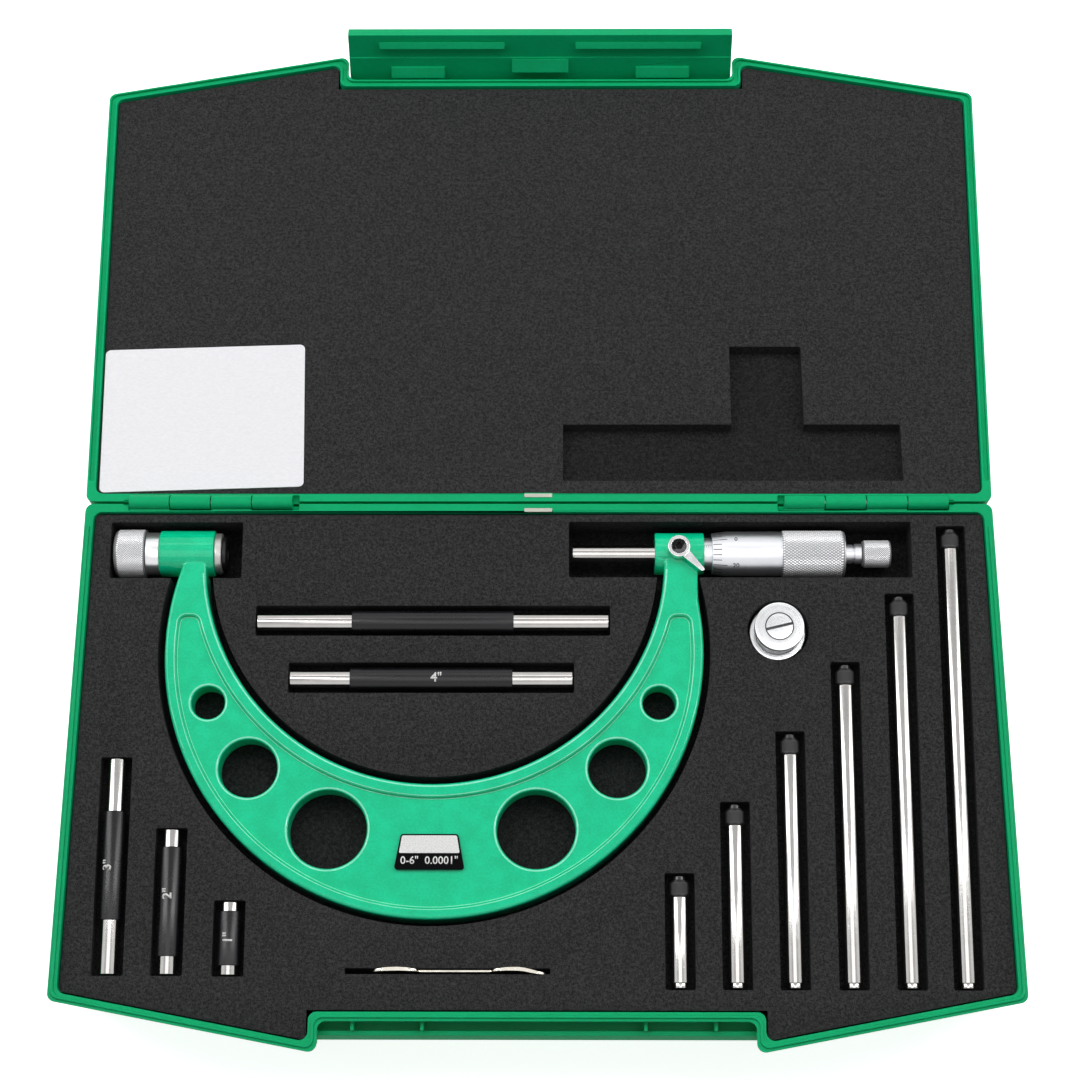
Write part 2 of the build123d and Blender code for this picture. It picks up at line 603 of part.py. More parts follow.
# ---------------------------------------------------------------- micrometer frame
mic_y = HINGE_Y - MIC_REACH
mic_z = BASE_HEIGHT - MIC_DEPTH
mic_plane = Plane(origin=(0, mic_y, mic_z), x_dir=(1, 0, 0), z_dir=(0, 0, 1))
frame_top = MIC_DEPTH - FRAME_THICKNESS / 2
boss_top = MIC_DEPTH - RIGHT_BOSS_RADIUS
seat_top = boss_top - LEVER_SEAT_RISE
left_boss_end = LEFT_BOSS_X + LEFT_BOSS_LENGTH
right_boss_end = RIGHT_BOSS_X + RIGHT_BOSS_LENGTH
hole_spots = [(FRAME_OUTER[0] + side * x, reach, radius)
              for side in (-1, 1) for x, reach, radius in HOLES]


def rod(x_from, x_to, radius):
    """A plain cylinder on the measuring axis."""
    with BuildPart() as cylinder:
        with BuildSketch(Plane.YZ.offset(x_from)):
            with Locations((mic_y, mic_z)):
                Circle(radius)
        extrude(amount=x_to - x_from)
    return cylinder.part


with BuildPart() as mic_frame:
    with BuildSketch(base_plane.offset(frame_top)):
        add(crescent(0, 0, MIC_REACH))
        with BuildLine():
            Polyline(*ARM_PATCH, close=True)
        make_face()
    extrude(amount=FRAME_THICKNESS)
    long_arcs = mic_frame.edges().filter_by(GeomType.CIRCLE)
    long_arcs = long_arcs.filter_by(lambda edge: edge.length > FRAME_OUTER[2])
    chamfer(long_arcs, FRAME_CHAMFER)
    # The web between the arcs is sunk on both faces.
    for face_depth, direction in ((frame_top, 1), (frame_bottom, -1)):
        with BuildSketch(base_plane.offset(face_depth)) as web:
            add(crescent(-BAND_OUTER, -BAND_INNER, WEB_REACH))
            fillet(web.vertices(), WEB_RADIUS)
        extrude(amount=direction * WEB_DEPTH, mode=Mode.SUBTRACT)
    with BuildSketch(base_plane.offset(frame_top)):
        for x, reach, radius in hole_spots:
            with Locations((x, reach)):
                Circle(radius)
    extrude(amount=FRAME_THICKNESS, mode=Mode.SUBTRACT)
    hole_radii = [radius for x, reach, radius in HOLES]
    rings = mic_frame.edges().filter_by(GeomType.CIRCLE)
    rings = rings.filter_by(lambda e: min(abs(e.radius - r) for r in hole_radii) < FIT)
    chamfer(rings, HOLE_CHAMFER)
    add(rod(LEFT_BOSS_X, left_boss_end, LEFT_BOSS_RADIUS))
    add(rod(RIGHT_BOSS_X, right_boss_end, RIGHT_BOSS_RADIUS))
    # A flat seat for the lock lever, on top of the right boss.
    with BuildSketch(base_plane.offset(seat_top)):
        with Locations((LEVER_X, MIC_REACH)):
            Circle(LEVER_HUB_RADIUS)
    extrude(amount=RIGHT_BOSS_RADIUS / 2)
    add(rod(LEFT_BOSS_X, left_boss_end, BUSH_RADIUS + FIT), mode=Mode.SUBTRACT)
    add(rod(RIGHT_BOSS_X, right_boss_end - BARREL_SOCKET, GUIDE_RADIUS + FIT), mode=Mode.SUBTRACT)
    add(rod(right_boss_end - BARREL_SOCKET, right_boss_end, BARREL_RADIUS + FIT),
        mode=Mode.SUBTRACT)
    with BuildSketch(base_plane.offset(seat_top)):
        with Locations((LEVER_X, MIC_REACH)):
            Circle(LOCK_SHANK_RADIUS + FIT)
    extrude(amount=MIC_DEPTH - seat_top, mode=Mode.SUBTRACT)
write_piece(mic_frame, "mic_frame")

with BuildPart() as name_plate:
    with BuildSketch(base_plane.offset(frame_top + WEB_DEPTH - PLATE_THICKNESS)) as plate_plan:
        with BuildLine():
            Polyline(
                (PLATE_X - PLATE_TOP_WIDTH / 2, PLATE_REACH),
                (PLATE_X + PLATE_TOP_WIDTH / 2, PLATE_REACH),
                (PLATE_X + PLATE_FOOT_WIDTH / 2, PLATE_REACH + PLATE_HEIGHT),
                (PLATE_X - PLATE_FOOT_WIDTH / 2, PLATE_REACH + PLATE_HEIGHT),
                close=True,
            )
        make_face()
        fillet(plate_plan.vertices(), PLATE_RADIUS)
    extrude(amount=PLATE_THICKNESS)
write_piece(name_plate, "name_plate")

# ---------------------------------------------------------------- anvil clamp
clamp_ring_x = LEFT_BOSS_X - FIT - CLAMP_RING_LENGTH
clamp_knob_x = clamp_ring_x - RATCHET_GAP - CLAMP_KNOB_LENGTH
bush_start = clamp_ring_x - CLAMP_THREAD_LENGTH
flange_x = left_boss_end + FIT
flange_end = flange_x + BUSH_FLANGE

anvil_bush = turned([
    (bush_start, ANVIL_BORE_RADIUS), (flange_end, ANVIL_BORE_RADIUS),
    (flange_end, BUSH_FLANGE_RADIUS - EDGE_BREAK), (flange_end - EDGE_BREAK, BUSH_FLANGE_RADIUS),
    (flange_x, BUSH_FLANGE_RADIUS), (flange_x, BUSH_RADIUS), (bush_start, BUSH_RADIUS),
], mic_plane)
write_piece(anvil_bush, "anvil_bush")

bush_nose = turned([
    (flange_end, ANVIL_BORE_RADIUS), (flange_end + NOSE_LENGTH, ANVIL_BORE_RADIUS),
    (flange_end + NOSE_LENGTH, NOSE_RADIUS - EDGE_BREAK),
    (flange_end + NOSE_LENGTH - EDGE_BREAK, NOSE_RADIUS),
    (flange_end, NOSE_RADIUS),
], mic_plane)
write_piece(bush_nose, "bush_nose")

clamp_ring = turned([
    (clamp_ring_x, BUSH_RADIUS + FIT), (clamp_ring_x + CLAMP_RING_LENGTH, BUSH_RADIUS + FIT),
    (clamp_ring_x + CLAMP_RING_LENGTH, CLAMP_RING_RADIUS), (clamp_ring_x, CLAMP_RING_RADIUS),
], mic_plane)
write_piece(clamp_ring, "clamp_ring")

knob_mouth = clamp_knob_x + CLAMP_KNOB_LENGTH
knob_floor = bush_start - RATCHET_GAP
clamp_knob = turned([
    (clamp_knob_x, 0), (clamp_knob_x, CLAMP_KNOB_FACE_RADIUS),
    (clamp_knob_x + CLAMP_KNOB_ROUND / 3, CLAMP_KNOB_RADIUS - CLAMP_KNOB_ROUND_DEPTH),
    (clamp_knob_x + CLAMP_KNOB_ROUND, CLAMP_KNOB_RADIUS),
    (knob_mouth - EDGE_BREAK, CLAMP_KNOB_RADIUS), (knob_mouth, CLAMP_KNOB_RADIUS - EDGE_BREAK),
    (knob_mouth, BUSH_RADIUS + RUNNING_FIT), (knob_floor, BUSH_RADIUS + RUNNING_FIT),
    (knob_floor, 0),
], mic_plane)
write_piece(clamp_knob, "clamp_knob")

# ---------------------------------------------------------------- spindle and barrel
barrel_start = right_boss_end - BARREL_SOCKET
nut_start = BARREL_END_X - NUT_LENGTH

spindle_guide = turned([
    (RIGHT_BOSS_X, SPINDLE_RADIUS + RUNNING_FIT), (barrel_start, SPINDLE_RADIUS + RUNNING_FIT),
    (barrel_start, GUIDE_RADIUS), (RIGHT_BOSS_X, GUIDE_RADIUS),
], mic_plane)
write_piece(spindle_guide, "spindle_guide")

barrel = turned([
    (barrel_start + FIT, BARREL_BORE_RADIUS), (BARREL_END_X, BARREL_BORE_RADIUS),
    (BARREL_END_X, BARREL_RADIUS), (barrel_start + FIT, BARREL_RADIUS),
], mic_plane)
write_piece(barrel, "barrel")

spindle_nut = turned([
    (nut_start, THREAD_RADIUS + RUNNING_FIT), (BARREL_END_X, THREAD_RADIUS + RUNNING_FIT),
    (BARREL_END_X, BARREL_BORE_RADIUS - FIT), (nut_start, BARREL_BORE_RADIUS - FIT),
], mic_plane)
write_piece(spindle_nut, "spindle_nut")

spindle = turned([
    (SPINDLE_X, 0), (SPINDLE_X, SPINDLE_RADIUS - ROD_BREAK),
    (SPINDLE_X + ROD_BREAK, SPINDLE_RADIUS),
    (THREAD_X, SPINDLE_RADIUS), (THREAD_X, THREAD_RADIUS),
    (THIMBLE_END_X - THIMBLE_HUB - RATCHET_GAP, THREAD_RADIUS),
    (THIMBLE_END_X - THIMBLE_HUB - RATCHET_GAP, SPINDLE_RADIUS),
    (SPINDLE_END_X, SPINDLE_RADIUS), (SPINDLE_END_X, 0),
], mic_plane)
write_piece(spindle, "spindle")

# ---------------------------------------------------------------- thimble and ratchet
hub_x = THIMBLE_END_X - THIMBLE_HUB
thimble = turned([
    (THIMBLE_X, THIMBLE_BORE_RADIUS), (THIMBLE_X, BEVEL_RADIUS),
    (THIMBLE_X + BEVEL_LENGTH, THIMBLE_RADIUS), (KNURL_X - GROOVE_WIDTH, THIMBLE_RADIUS),
    (KNURL_X - GROOVE_WIDTH, THIMBLE_RADIUS - GROOVE_WIDTH),
    (KNURL_X, THIMBLE_RADIUS - GROOVE_WIDTH),
    (KNURL_X, KNURL_RADIUS), (THIMBLE_END_X - EDGE_BREAK, KNURL_RADIUS),
    (THIMBLE_END_X, KNURL_RADIUS - EDGE_BREAK), (THIMBLE_END_X, SPINDLE_RADIUS + RUNNING_FIT),
    (hub_x, SPINDLE_RADIUS + RUNNING_FIT), (hub_x, THIMBLE_BORE_RADIUS),
], mic_plane)
write_piece(thimble, "thimble")

stem_x = THIMBLE_END_X + FIT
stem_end = stem_x + STEM_LENGTH
ratchet_stem = turned([
    (stem_x, 0), (stem_x, STEM_RADIUS), (stem_end, STEM_RADIUS), (stem_end, STEM_PEG_RADIUS),
    (stem_end + STEM_PEG_LENGTH, STEM_PEG_RADIUS), (stem_end + STEM_PEG_LENGTH, 0),
], mic_plane)
write_piece(ratchet_stem, "ratchet_stem")

ratchet_x = stem_end + RATCHET_GAP
ratchet_end = ratchet_x + RATCHET_LENGTH
spring_room = SPRING_TURNS * 2.5 * SPRING_WIRE
spring_bore = SPRING_RADIUS + SPRING_WIRE + RATCHET_GAP
peg_bore = STEM_PEG_RADIUS + RUNNING_FIT
peg_floor = stem_end + STEM_PEG_LENGTH + RATCHET_GAP
ratchet_knob = turned([
    (ratchet_x, spring_bore), (ratchet_x, RATCHET_RADIUS - EDGE_BREAK),
    (ratchet_x + EDGE_BREAK, RATCHET_RADIUS), (ratchet_end - EDGE_BREAK, RATCHET_RADIUS),
    (ratchet_end, RATCHET_RADIUS - EDGE_BREAK), (ratchet_end, 0), (peg_floor, 0),
    (peg_floor, peg_bore), (ratchet_x + spring_room, peg_bore),
    (ratchet_x + spring_room, spring_bore),
], mic_plane)
write_piece(ratchet_knob, "ratchet_knob")

with BuildPart() as ratchet_spring:
    for turn in range(SPRING_TURNS):
        coil_x = ratchet_x + SPRING_WIRE + turn * (2 * SPRING_WIRE + FIT)
        with Locations(Location((coil_x, mic_y, mic_z), (0, 90, 0))):
            Torus(SPRING_RADIUS - SPRING_WIRE / 2, SPRING_WIRE)
write_piece(ratchet_spring, "ratchet_spring")

# ---------------------------------------------------------------- spindle lock
hub_bottom = seat_top - LEVER_GAP
hub_top = hub_bottom - LEVER_HUB_HEIGHT
arm_bottom = hub_bottom - LEVER_ARM_HEIGHT

with BuildPart() as lock_lever:
    with BuildSketch(base_plane.offset(hub_top)):
        with Locations((LEVER_X, MIC_REACH)):
            Circle(LEVER_HUB_RADIUS)
    extrude(amount=LEVER_HUB_HEIGHT)
    with BuildSketch(base_plane.offset(arm_bottom)):
        with Locations(Location((LEVER_X, MIC_REACH), -LEVER_TURN)):
            Circle(LEVER_HUB_RADIUS / 2)
            with Locations((LEVER_LENGTH, 0)):
                Circle(LEVER_TIP_RADIUS)
        make_hull()
    extrude(amount=-LEVER_ARM_THICKNESS)
    with BuildSketch(base_plane.offset(hub_top)):
        with Locations((LEVER_X, MIC_REACH)):
            Circle(LOCK_HEAD_RADIUS + RUNNING_FIT)
    extrude(amount=LOCK_HEAD_SINK, mode=Mode.SUBTRACT)
    with BuildSketch(base_plane.offset(hub_top)):
        with Locations((LEVER_X, MIC_REACH)):
            Circle(LOCK_SHANK_RADIUS + RUNNING_FIT)
    extrude(amount=LEVER_HUB_HEIGHT, mode=Mode.SUBTRACT)
write_piece(lock_lever, "lock_lever")

head_bottom = hub_top + LOCK_HEAD_SINK - LEVER_GAP
shank_end = MIC_DEPTH - GUIDE_RADIUS - LEVER_GAP
with BuildPart() as lock_screw:
    with BuildSketch(base_plane.offset(head_bottom)):
        with Locations((LEVER_X, MIC_REACH)):
            Circle(LOCK_HEAD_RADIUS)
    extrude(amount=-LOCK_HEAD_HEIGHT)
    with BuildSketch(base_plane.offset(head_bottom)):
        with Locations((LEVER_X, MIC_REACH)):
            Circle(LOCK_SHANK_RADIUS)
    extrude(amount=shank_end - head_bottom)
    with BuildSketch(base_plane.offset(head_bottom - LOCK_HEAD_HEIGHT)):
        with Locations((LEVER_X, MIC_REACH)):
            RegularPolygon(LOCK_SOCKET, 6)
    extrude(amount=LOCK_HEAD_HEIGHT * 0.7, mode=Mode.SUBTRACT)
write_piece(lock_screw, "lock_screw")

# ---------------------------------------------------------------- interchangeable anvils
collar_start = ANVIL_STUB
collar_end = collar_start + COLLAR_LENGTH
for step, (x, length) in enumerate(zip(ANVIL_XS, anvil_lengths), start=1):
    anvil_head = (x, HINGE_Y - ANVIL_FOOT_REACH + length,
                  BASE_HEIGHT - SEAT_DEPTH + SEAT_GAP + COLLAR_RADIUS)
    anvil_plane = Plane(origin=anvil_head, x_dir=(0, -1, 0), z_dir=(0, 0, 1))
    anvil_rod = turned([
        (0, 0), (0, ANVIL_SHANK_RADIUS - ROD_BREAK), (ROD_BREAK, ANVIL_SHANK_RADIUS),
        (collar_end, ANVIL_SHANK_RADIUS), (collar_end, ANVIL_RADIUS),
        (length - ANVIL_TIP_LENGTH, ANVIL_RADIUS), (length - ANVIL_TIP_LENGTH, ANVIL_TIP_RADIUS),
        (length, ANVIL_TIP_RADIUS), (length, 0),
    ], anvil_plane)
    write_piece(anvil_rod, f"anvil_{step}_rod")
    anvil_collar = turned([
        (collar_start, ANVIL_SHANK_RADIUS + FIT), (collar_start, COLLAR_RADIUS - EDGE_BREAK),
        (collar_start + EDGE_BREAK, COLLAR_RADIUS), (collar_end - FIT, COLLAR_RADIUS),
        (collar_end - FIT, ANVIL_SHANK_RADIUS + FIT),
    ], anvil_plane)
    write_piece(anvil_collar, f"anvil_{step}_collar")

# ---------------------------------------------------------------- setting standards
for inches, middle_x, middle_reach, sleeve_length, across in standards:
    half_length = inches * INCH / 2
    standard_z = BASE_HEIGHT - SEAT_DEPTH + SEAT_GAP + SLEEVE_RADIUS
    standard_plane = Plane(
        origin=(middle_x, HINGE_Y - middle_reach, standard_z),
        x_dir=(1, 0, 0) if across else (0, -1, 0), z_dir=(0, 0, 1))
    end_radius = STANDARD_RADIUS - ROD_BREAK
    standard_rod = turned([
        (-half_length, 0), (-half_length, end_radius),
        (ROD_BREAK - half_length, STANDARD_RADIUS),
        (half_length - ROD_BREAK, STANDARD_RADIUS),
        (half_length, end_radius), (half_length, 0),
    ], standard_plane)
    write_piece(standard_rod, f"standard_{inches}_inch_rod")
    half_sleeve = sleeve_length / 2
    standard_sleeve = turned([
        (-half_sleeve, STANDARD_RADIUS + FIT), (-half_sleeve, SLEEVE_RADIUS - ROD_BREAK),
        (ROD_BREAK - half_sleeve, SLEEVE_RADIUS),
        (half_sleeve - ROD_BREAK, SLEEVE_RADIUS),
        (half_sleeve, SLEEVE_RADIUS - ROD_BREAK), (half_sleeve, STANDARD_RADIUS + FIT),
    ], standard_plane)
    write_piece(standard_sleeve, f"standard_{inches}_inch_sleeve")

# ---------------------------------------------------------------- slotted knob
spool_foot = (SPOOL_X, HINGE_Y - SPOOL_REACH, BASE_HEIGHT - SEAT_DEPTH + SEAT_GAP)
spool_plane = Plane(origin=spool_foot, x_dir=(0, 0, 1), z_dir=(0, 1, 0))
disc_foot = SPOOL_HEIGHT - SPOOL_DISC_HEIGHT
screw_foot = SPOOL_HEIGHT - SPOOL_SCREW_HEAD
spool_body = turned([
    (0, SPOOL_SHANK_RADIUS + FIT), (0, SPOOL_RING_RADIUS - EDGE_BREAK),
    (EDGE_BREAK, SPOOL_RING_RADIUS), (SPOOL_RING_HEIGHT - EDGE_BREAK, SPOOL_RING_RADIUS),
    (SPOOL_RING_HEIGHT, SPOOL_RING_RADIUS - EDGE_BREAK),
    (SPOOL_RING_HEIGHT, SPOOL_NECK_RADIUS + SPOOL_NECK_SLOPE),
    (SPOOL_RING_HEIGHT + SPOOL_NECK_SLOPE, SPOOL_NECK_RADIUS),
    (disc_foot, SPOOL_NECK_RADIUS), (disc_foot, SPOOL_DISC_RADIUS),
    (SPOOL_HEIGHT - EDGE_BREAK, SPOOL_DISC_RADIUS), (SPOOL_HEIGHT, SPOOL_DISC_RADIUS - EDGE_BREAK),
    (SPOOL_HEIGHT, SPOOL_SCREW_RADIUS + FIT), (screw_foot, SPOOL_SCREW_RADIUS + FIT),
    (screw_foot, SPOOL_SHANK_RADIUS + FIT),
], spool_plane)
write_piece(spool_body, "slotted_knob_body")

spool_screw = turned([
    (0, 0), (0, SPOOL_SHANK_RADIUS), (screw_foot + FIT, SPOOL_SHANK_RADIUS),
    (screw_foot + FIT, SPOOL_SCREW_RADIUS), (SPOOL_HEIGHT, SPOOL_SCREW_RADIUS),
    (SPOOL_HEIGHT, 0),
], spool_plane)
with spool_screw:
    slot_middle = Location((spool_foot[0], spool_foot[1], spool_foot[2] + SPOOL_HEIGHT),
                           (0, 0, SPOOL_SLOT_TURN))
    with Locations(slot_middle):
        Box(2 * SPOOL_DISC_RADIUS, SPOOL_SLOT_WIDTH, SPOOL_SLOT_WIDTH * 2, mode=Mode.SUBTRACT)
write_piece(spool_screw, "slotted_knob_screw")

# ---------------------------------------------------------------- spanner
# Seen from above it is a thin strip whose two heads swell; from the side the heads are deeper.
spanner_top = BASE_HEIGHT - FOAM_DEPTH + SPANNER_RISE
spanner_y = HINGE_Y - SPANNER_REACH
spanner_end = SPANNER_X + SPANNER_LENGTH
thin = SPANNER_THICKNESS / 2
thick = SPANNER_HEAD_THICKNESS / 2
head_bottom_z = spanner_top - SPANNER_HEAD_HEIGHT
handle_middle_z = spanner_top - SPANNER_HEAD_HEIGHT / 2 - SPANNER_RISE / 2

with BuildPart() as spanner:
    with BuildSketch(Plane.XY.offset(head_bottom_z)):
        with Locations(((SPANNER_X + spanner_end) / 2, spanner_y)):
            Rectangle(SPANNER_LENGTH, SPANNER_THICKNESS)
        for head_x, head_length in (
            (SPANNER_X + SPANNER_LEFT_HEAD / 2, SPANNER_LEFT_HEAD),
            (spanner_end - SPANNER_RIGHT_HEAD / 2, SPANNER_RIGHT_HEAD),
        ):
            with Locations((head_x, spanner_y)):
                Ellipse(head_length / 2, thick)
    extrude(amount=SPANNER_HEAD_HEIGHT)
    # Trim the side view to two round-cornered heads and a low handle between them.
    with BuildSketch(Plane.XZ.offset(-spanner_y - SPANNER_HEAD_THICKNESS)) as side_view:
        head_z = (spanner_top + head_bottom_z) / 2
        with Locations((SPANNER_X + SPANNER_LEFT_HEAD / 2, head_z)):
            RectangleRounded(SPANNER_LEFT_HEAD, SPANNER_HEAD_HEIGHT, SPANNER_HEAD_HEIGHT / 3)
        with Locations((spanner_end - SPANNER_RIGHT_HEAD / 2, head_z)):
            RectangleRounded(SPANNER_RIGHT_HEAD, SPANNER_HEAD_HEIGHT, SPANNER_HEAD_HEIGHT / 3)
        with Locations(((SPANNER_X + spanner_end) / 2, handle_middle_z)):
            Rectangle(SPANNER_LENGTH - SPANNER_LEFT_HEAD, SPANNER_HANDLE_HEIGHT)
    extrude(amount=2 * SPANNER_HEAD_THICKNESS, mode=Mode.INTERSECT)
write_piece(spanner, "spanner")
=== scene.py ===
"""A moulded case, open flat, with a frame micrometer and its tools in die-cut foam.

Every length in this file is in millimetres until it meets Blender, which works in metres.
"Reach" is the distance from the hinge line and "depth" the distance below a rim.
"""

import json
import logging
import math
from dataclasses import dataclass
from enum import Enum
from typing import Callable, ClassVar, Iterable, Sequence

import bpy
from mathutils import Matrix, Vector

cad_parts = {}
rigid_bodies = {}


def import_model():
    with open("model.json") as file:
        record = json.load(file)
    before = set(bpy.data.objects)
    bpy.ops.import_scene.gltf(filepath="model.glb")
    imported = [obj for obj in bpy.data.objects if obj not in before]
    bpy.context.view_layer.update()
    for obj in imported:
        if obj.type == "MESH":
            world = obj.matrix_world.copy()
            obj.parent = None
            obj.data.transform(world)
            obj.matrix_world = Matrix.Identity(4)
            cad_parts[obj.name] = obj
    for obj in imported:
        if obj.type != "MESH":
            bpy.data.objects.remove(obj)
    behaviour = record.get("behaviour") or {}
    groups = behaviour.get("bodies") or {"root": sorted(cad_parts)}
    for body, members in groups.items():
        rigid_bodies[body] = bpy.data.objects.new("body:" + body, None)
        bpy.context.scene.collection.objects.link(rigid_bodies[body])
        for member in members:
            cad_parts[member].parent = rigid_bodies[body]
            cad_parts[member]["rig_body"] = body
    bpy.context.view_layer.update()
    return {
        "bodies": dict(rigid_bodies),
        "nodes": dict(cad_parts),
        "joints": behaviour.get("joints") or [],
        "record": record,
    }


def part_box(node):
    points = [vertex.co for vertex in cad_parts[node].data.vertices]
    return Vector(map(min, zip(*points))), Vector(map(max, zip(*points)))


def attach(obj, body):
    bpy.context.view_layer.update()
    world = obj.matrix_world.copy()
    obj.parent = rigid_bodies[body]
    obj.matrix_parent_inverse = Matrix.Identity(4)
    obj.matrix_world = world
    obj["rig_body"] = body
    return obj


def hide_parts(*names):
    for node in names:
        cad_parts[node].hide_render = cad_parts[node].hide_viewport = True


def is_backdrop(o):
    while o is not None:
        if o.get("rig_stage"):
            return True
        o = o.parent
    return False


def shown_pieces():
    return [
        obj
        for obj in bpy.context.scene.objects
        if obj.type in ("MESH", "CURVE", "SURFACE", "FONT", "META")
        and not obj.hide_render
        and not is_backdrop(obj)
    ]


LOG = logging.getLogger("micrometer_case")
MM = 0.001
INCH = 25.4

HINGE_Y = 99.45
HINGE_Z = 46.8
LID_DROP = math.radians(9.7438)
FOAM_DEPTH = 1.5
AXIS_REACH = 17.3
AXIS_DEPTH = 8.3
ROD_RADIUS = INCH / 8

Piece = bpy.types.Object
Paint = bpy.types.Material
Socket = bpy.types.NodeSocket
Colour = tuple[float, float, float, float]
Ring = tuple[float, float]
Profile = Sequence[Ring]
PointTest = Callable[[Vector], bool]
FaceTest = Callable[[Vector, Vector], bool]

STEEL: Colour = (0.55, 0.535, 0.52, 1.0)
ENGRAVED_BLACK: Colour = (0.015, 0.015, 0.017, 1.0)
WHITE: Colour = (1.0, 1.0, 1.0, 1.0)


# ------------------------------------------------------------------ small helpers
def mm(*values: float) -> Vector | float:
    """Turns millimetres into metres.

    Args:
        values: one length, or three for a point.

    Returns:
        A float for one value and a Vector for three.
    """
    if len(values) == 1:
        return values[0] * MM
    return Vector(values) * MM


class Along(Enum):
    """The direction that a turned piece's axis points in."""

    RIGHT = (1.0, 0.0, 0.0)
    FRONT = (0.0, -1.0, 0.0)
    UP = (0.0, 0.0, 1.0)

    def matrix(self) -> Matrix:
        """The turn that lays the Z axis along this direction."""
        return Vector(self.value).to_track_quat("Z", "Y").to_matrix().to_4x4()

    def to_first(self) -> tuple[float, float, float]:
        """The angles of a Mapping node that lays this direction along X."""
        return {Along.RIGHT: (0.0, 0.0, 0.0), Along.FRONT: (0.0, 0.0, math.pi / 2),
                Along.UP: (0.0, math.pi / 2, 0.0)}[self]


class Half(Enum):
    """The two halves of the case; the value is the side of the hinge that a half lies on."""

    BASE = -1
    LID = 1

    def place(self) -> Matrix:
        """The matrix from the flat drawing of a half to where it lies."""
        turn = Matrix.Rotation(-LID_DROP, 4, "X") if self is Half.LID else Matrix.Identity(4)
        return Matrix.Translation(mm(0, HINGE_Y, HINGE_Z)) @ turn


@dataclass(frozen=True)
class Arc:
    """One of the two circles that the frame's crescent lies between."""

    x: float
    reach: float
    radius: float

    def centre(self) -> Vector:
        """Its centre at rest, in metres."""
        return mm(self.x, HINGE_Y - self.reach, 0)


OUTER_ARC = Arc(-37.45, 54.8, 97.2)
INNER_ARC = Arc(-37.5, 20.4, 83.4)


def shade(colour: Colour, factor: float) -> Colour:
    """A colour made darker or lighter by a factor."""
    return tuple(min(1.0, part * factor) for part in colour[:3]) + (1.0,)


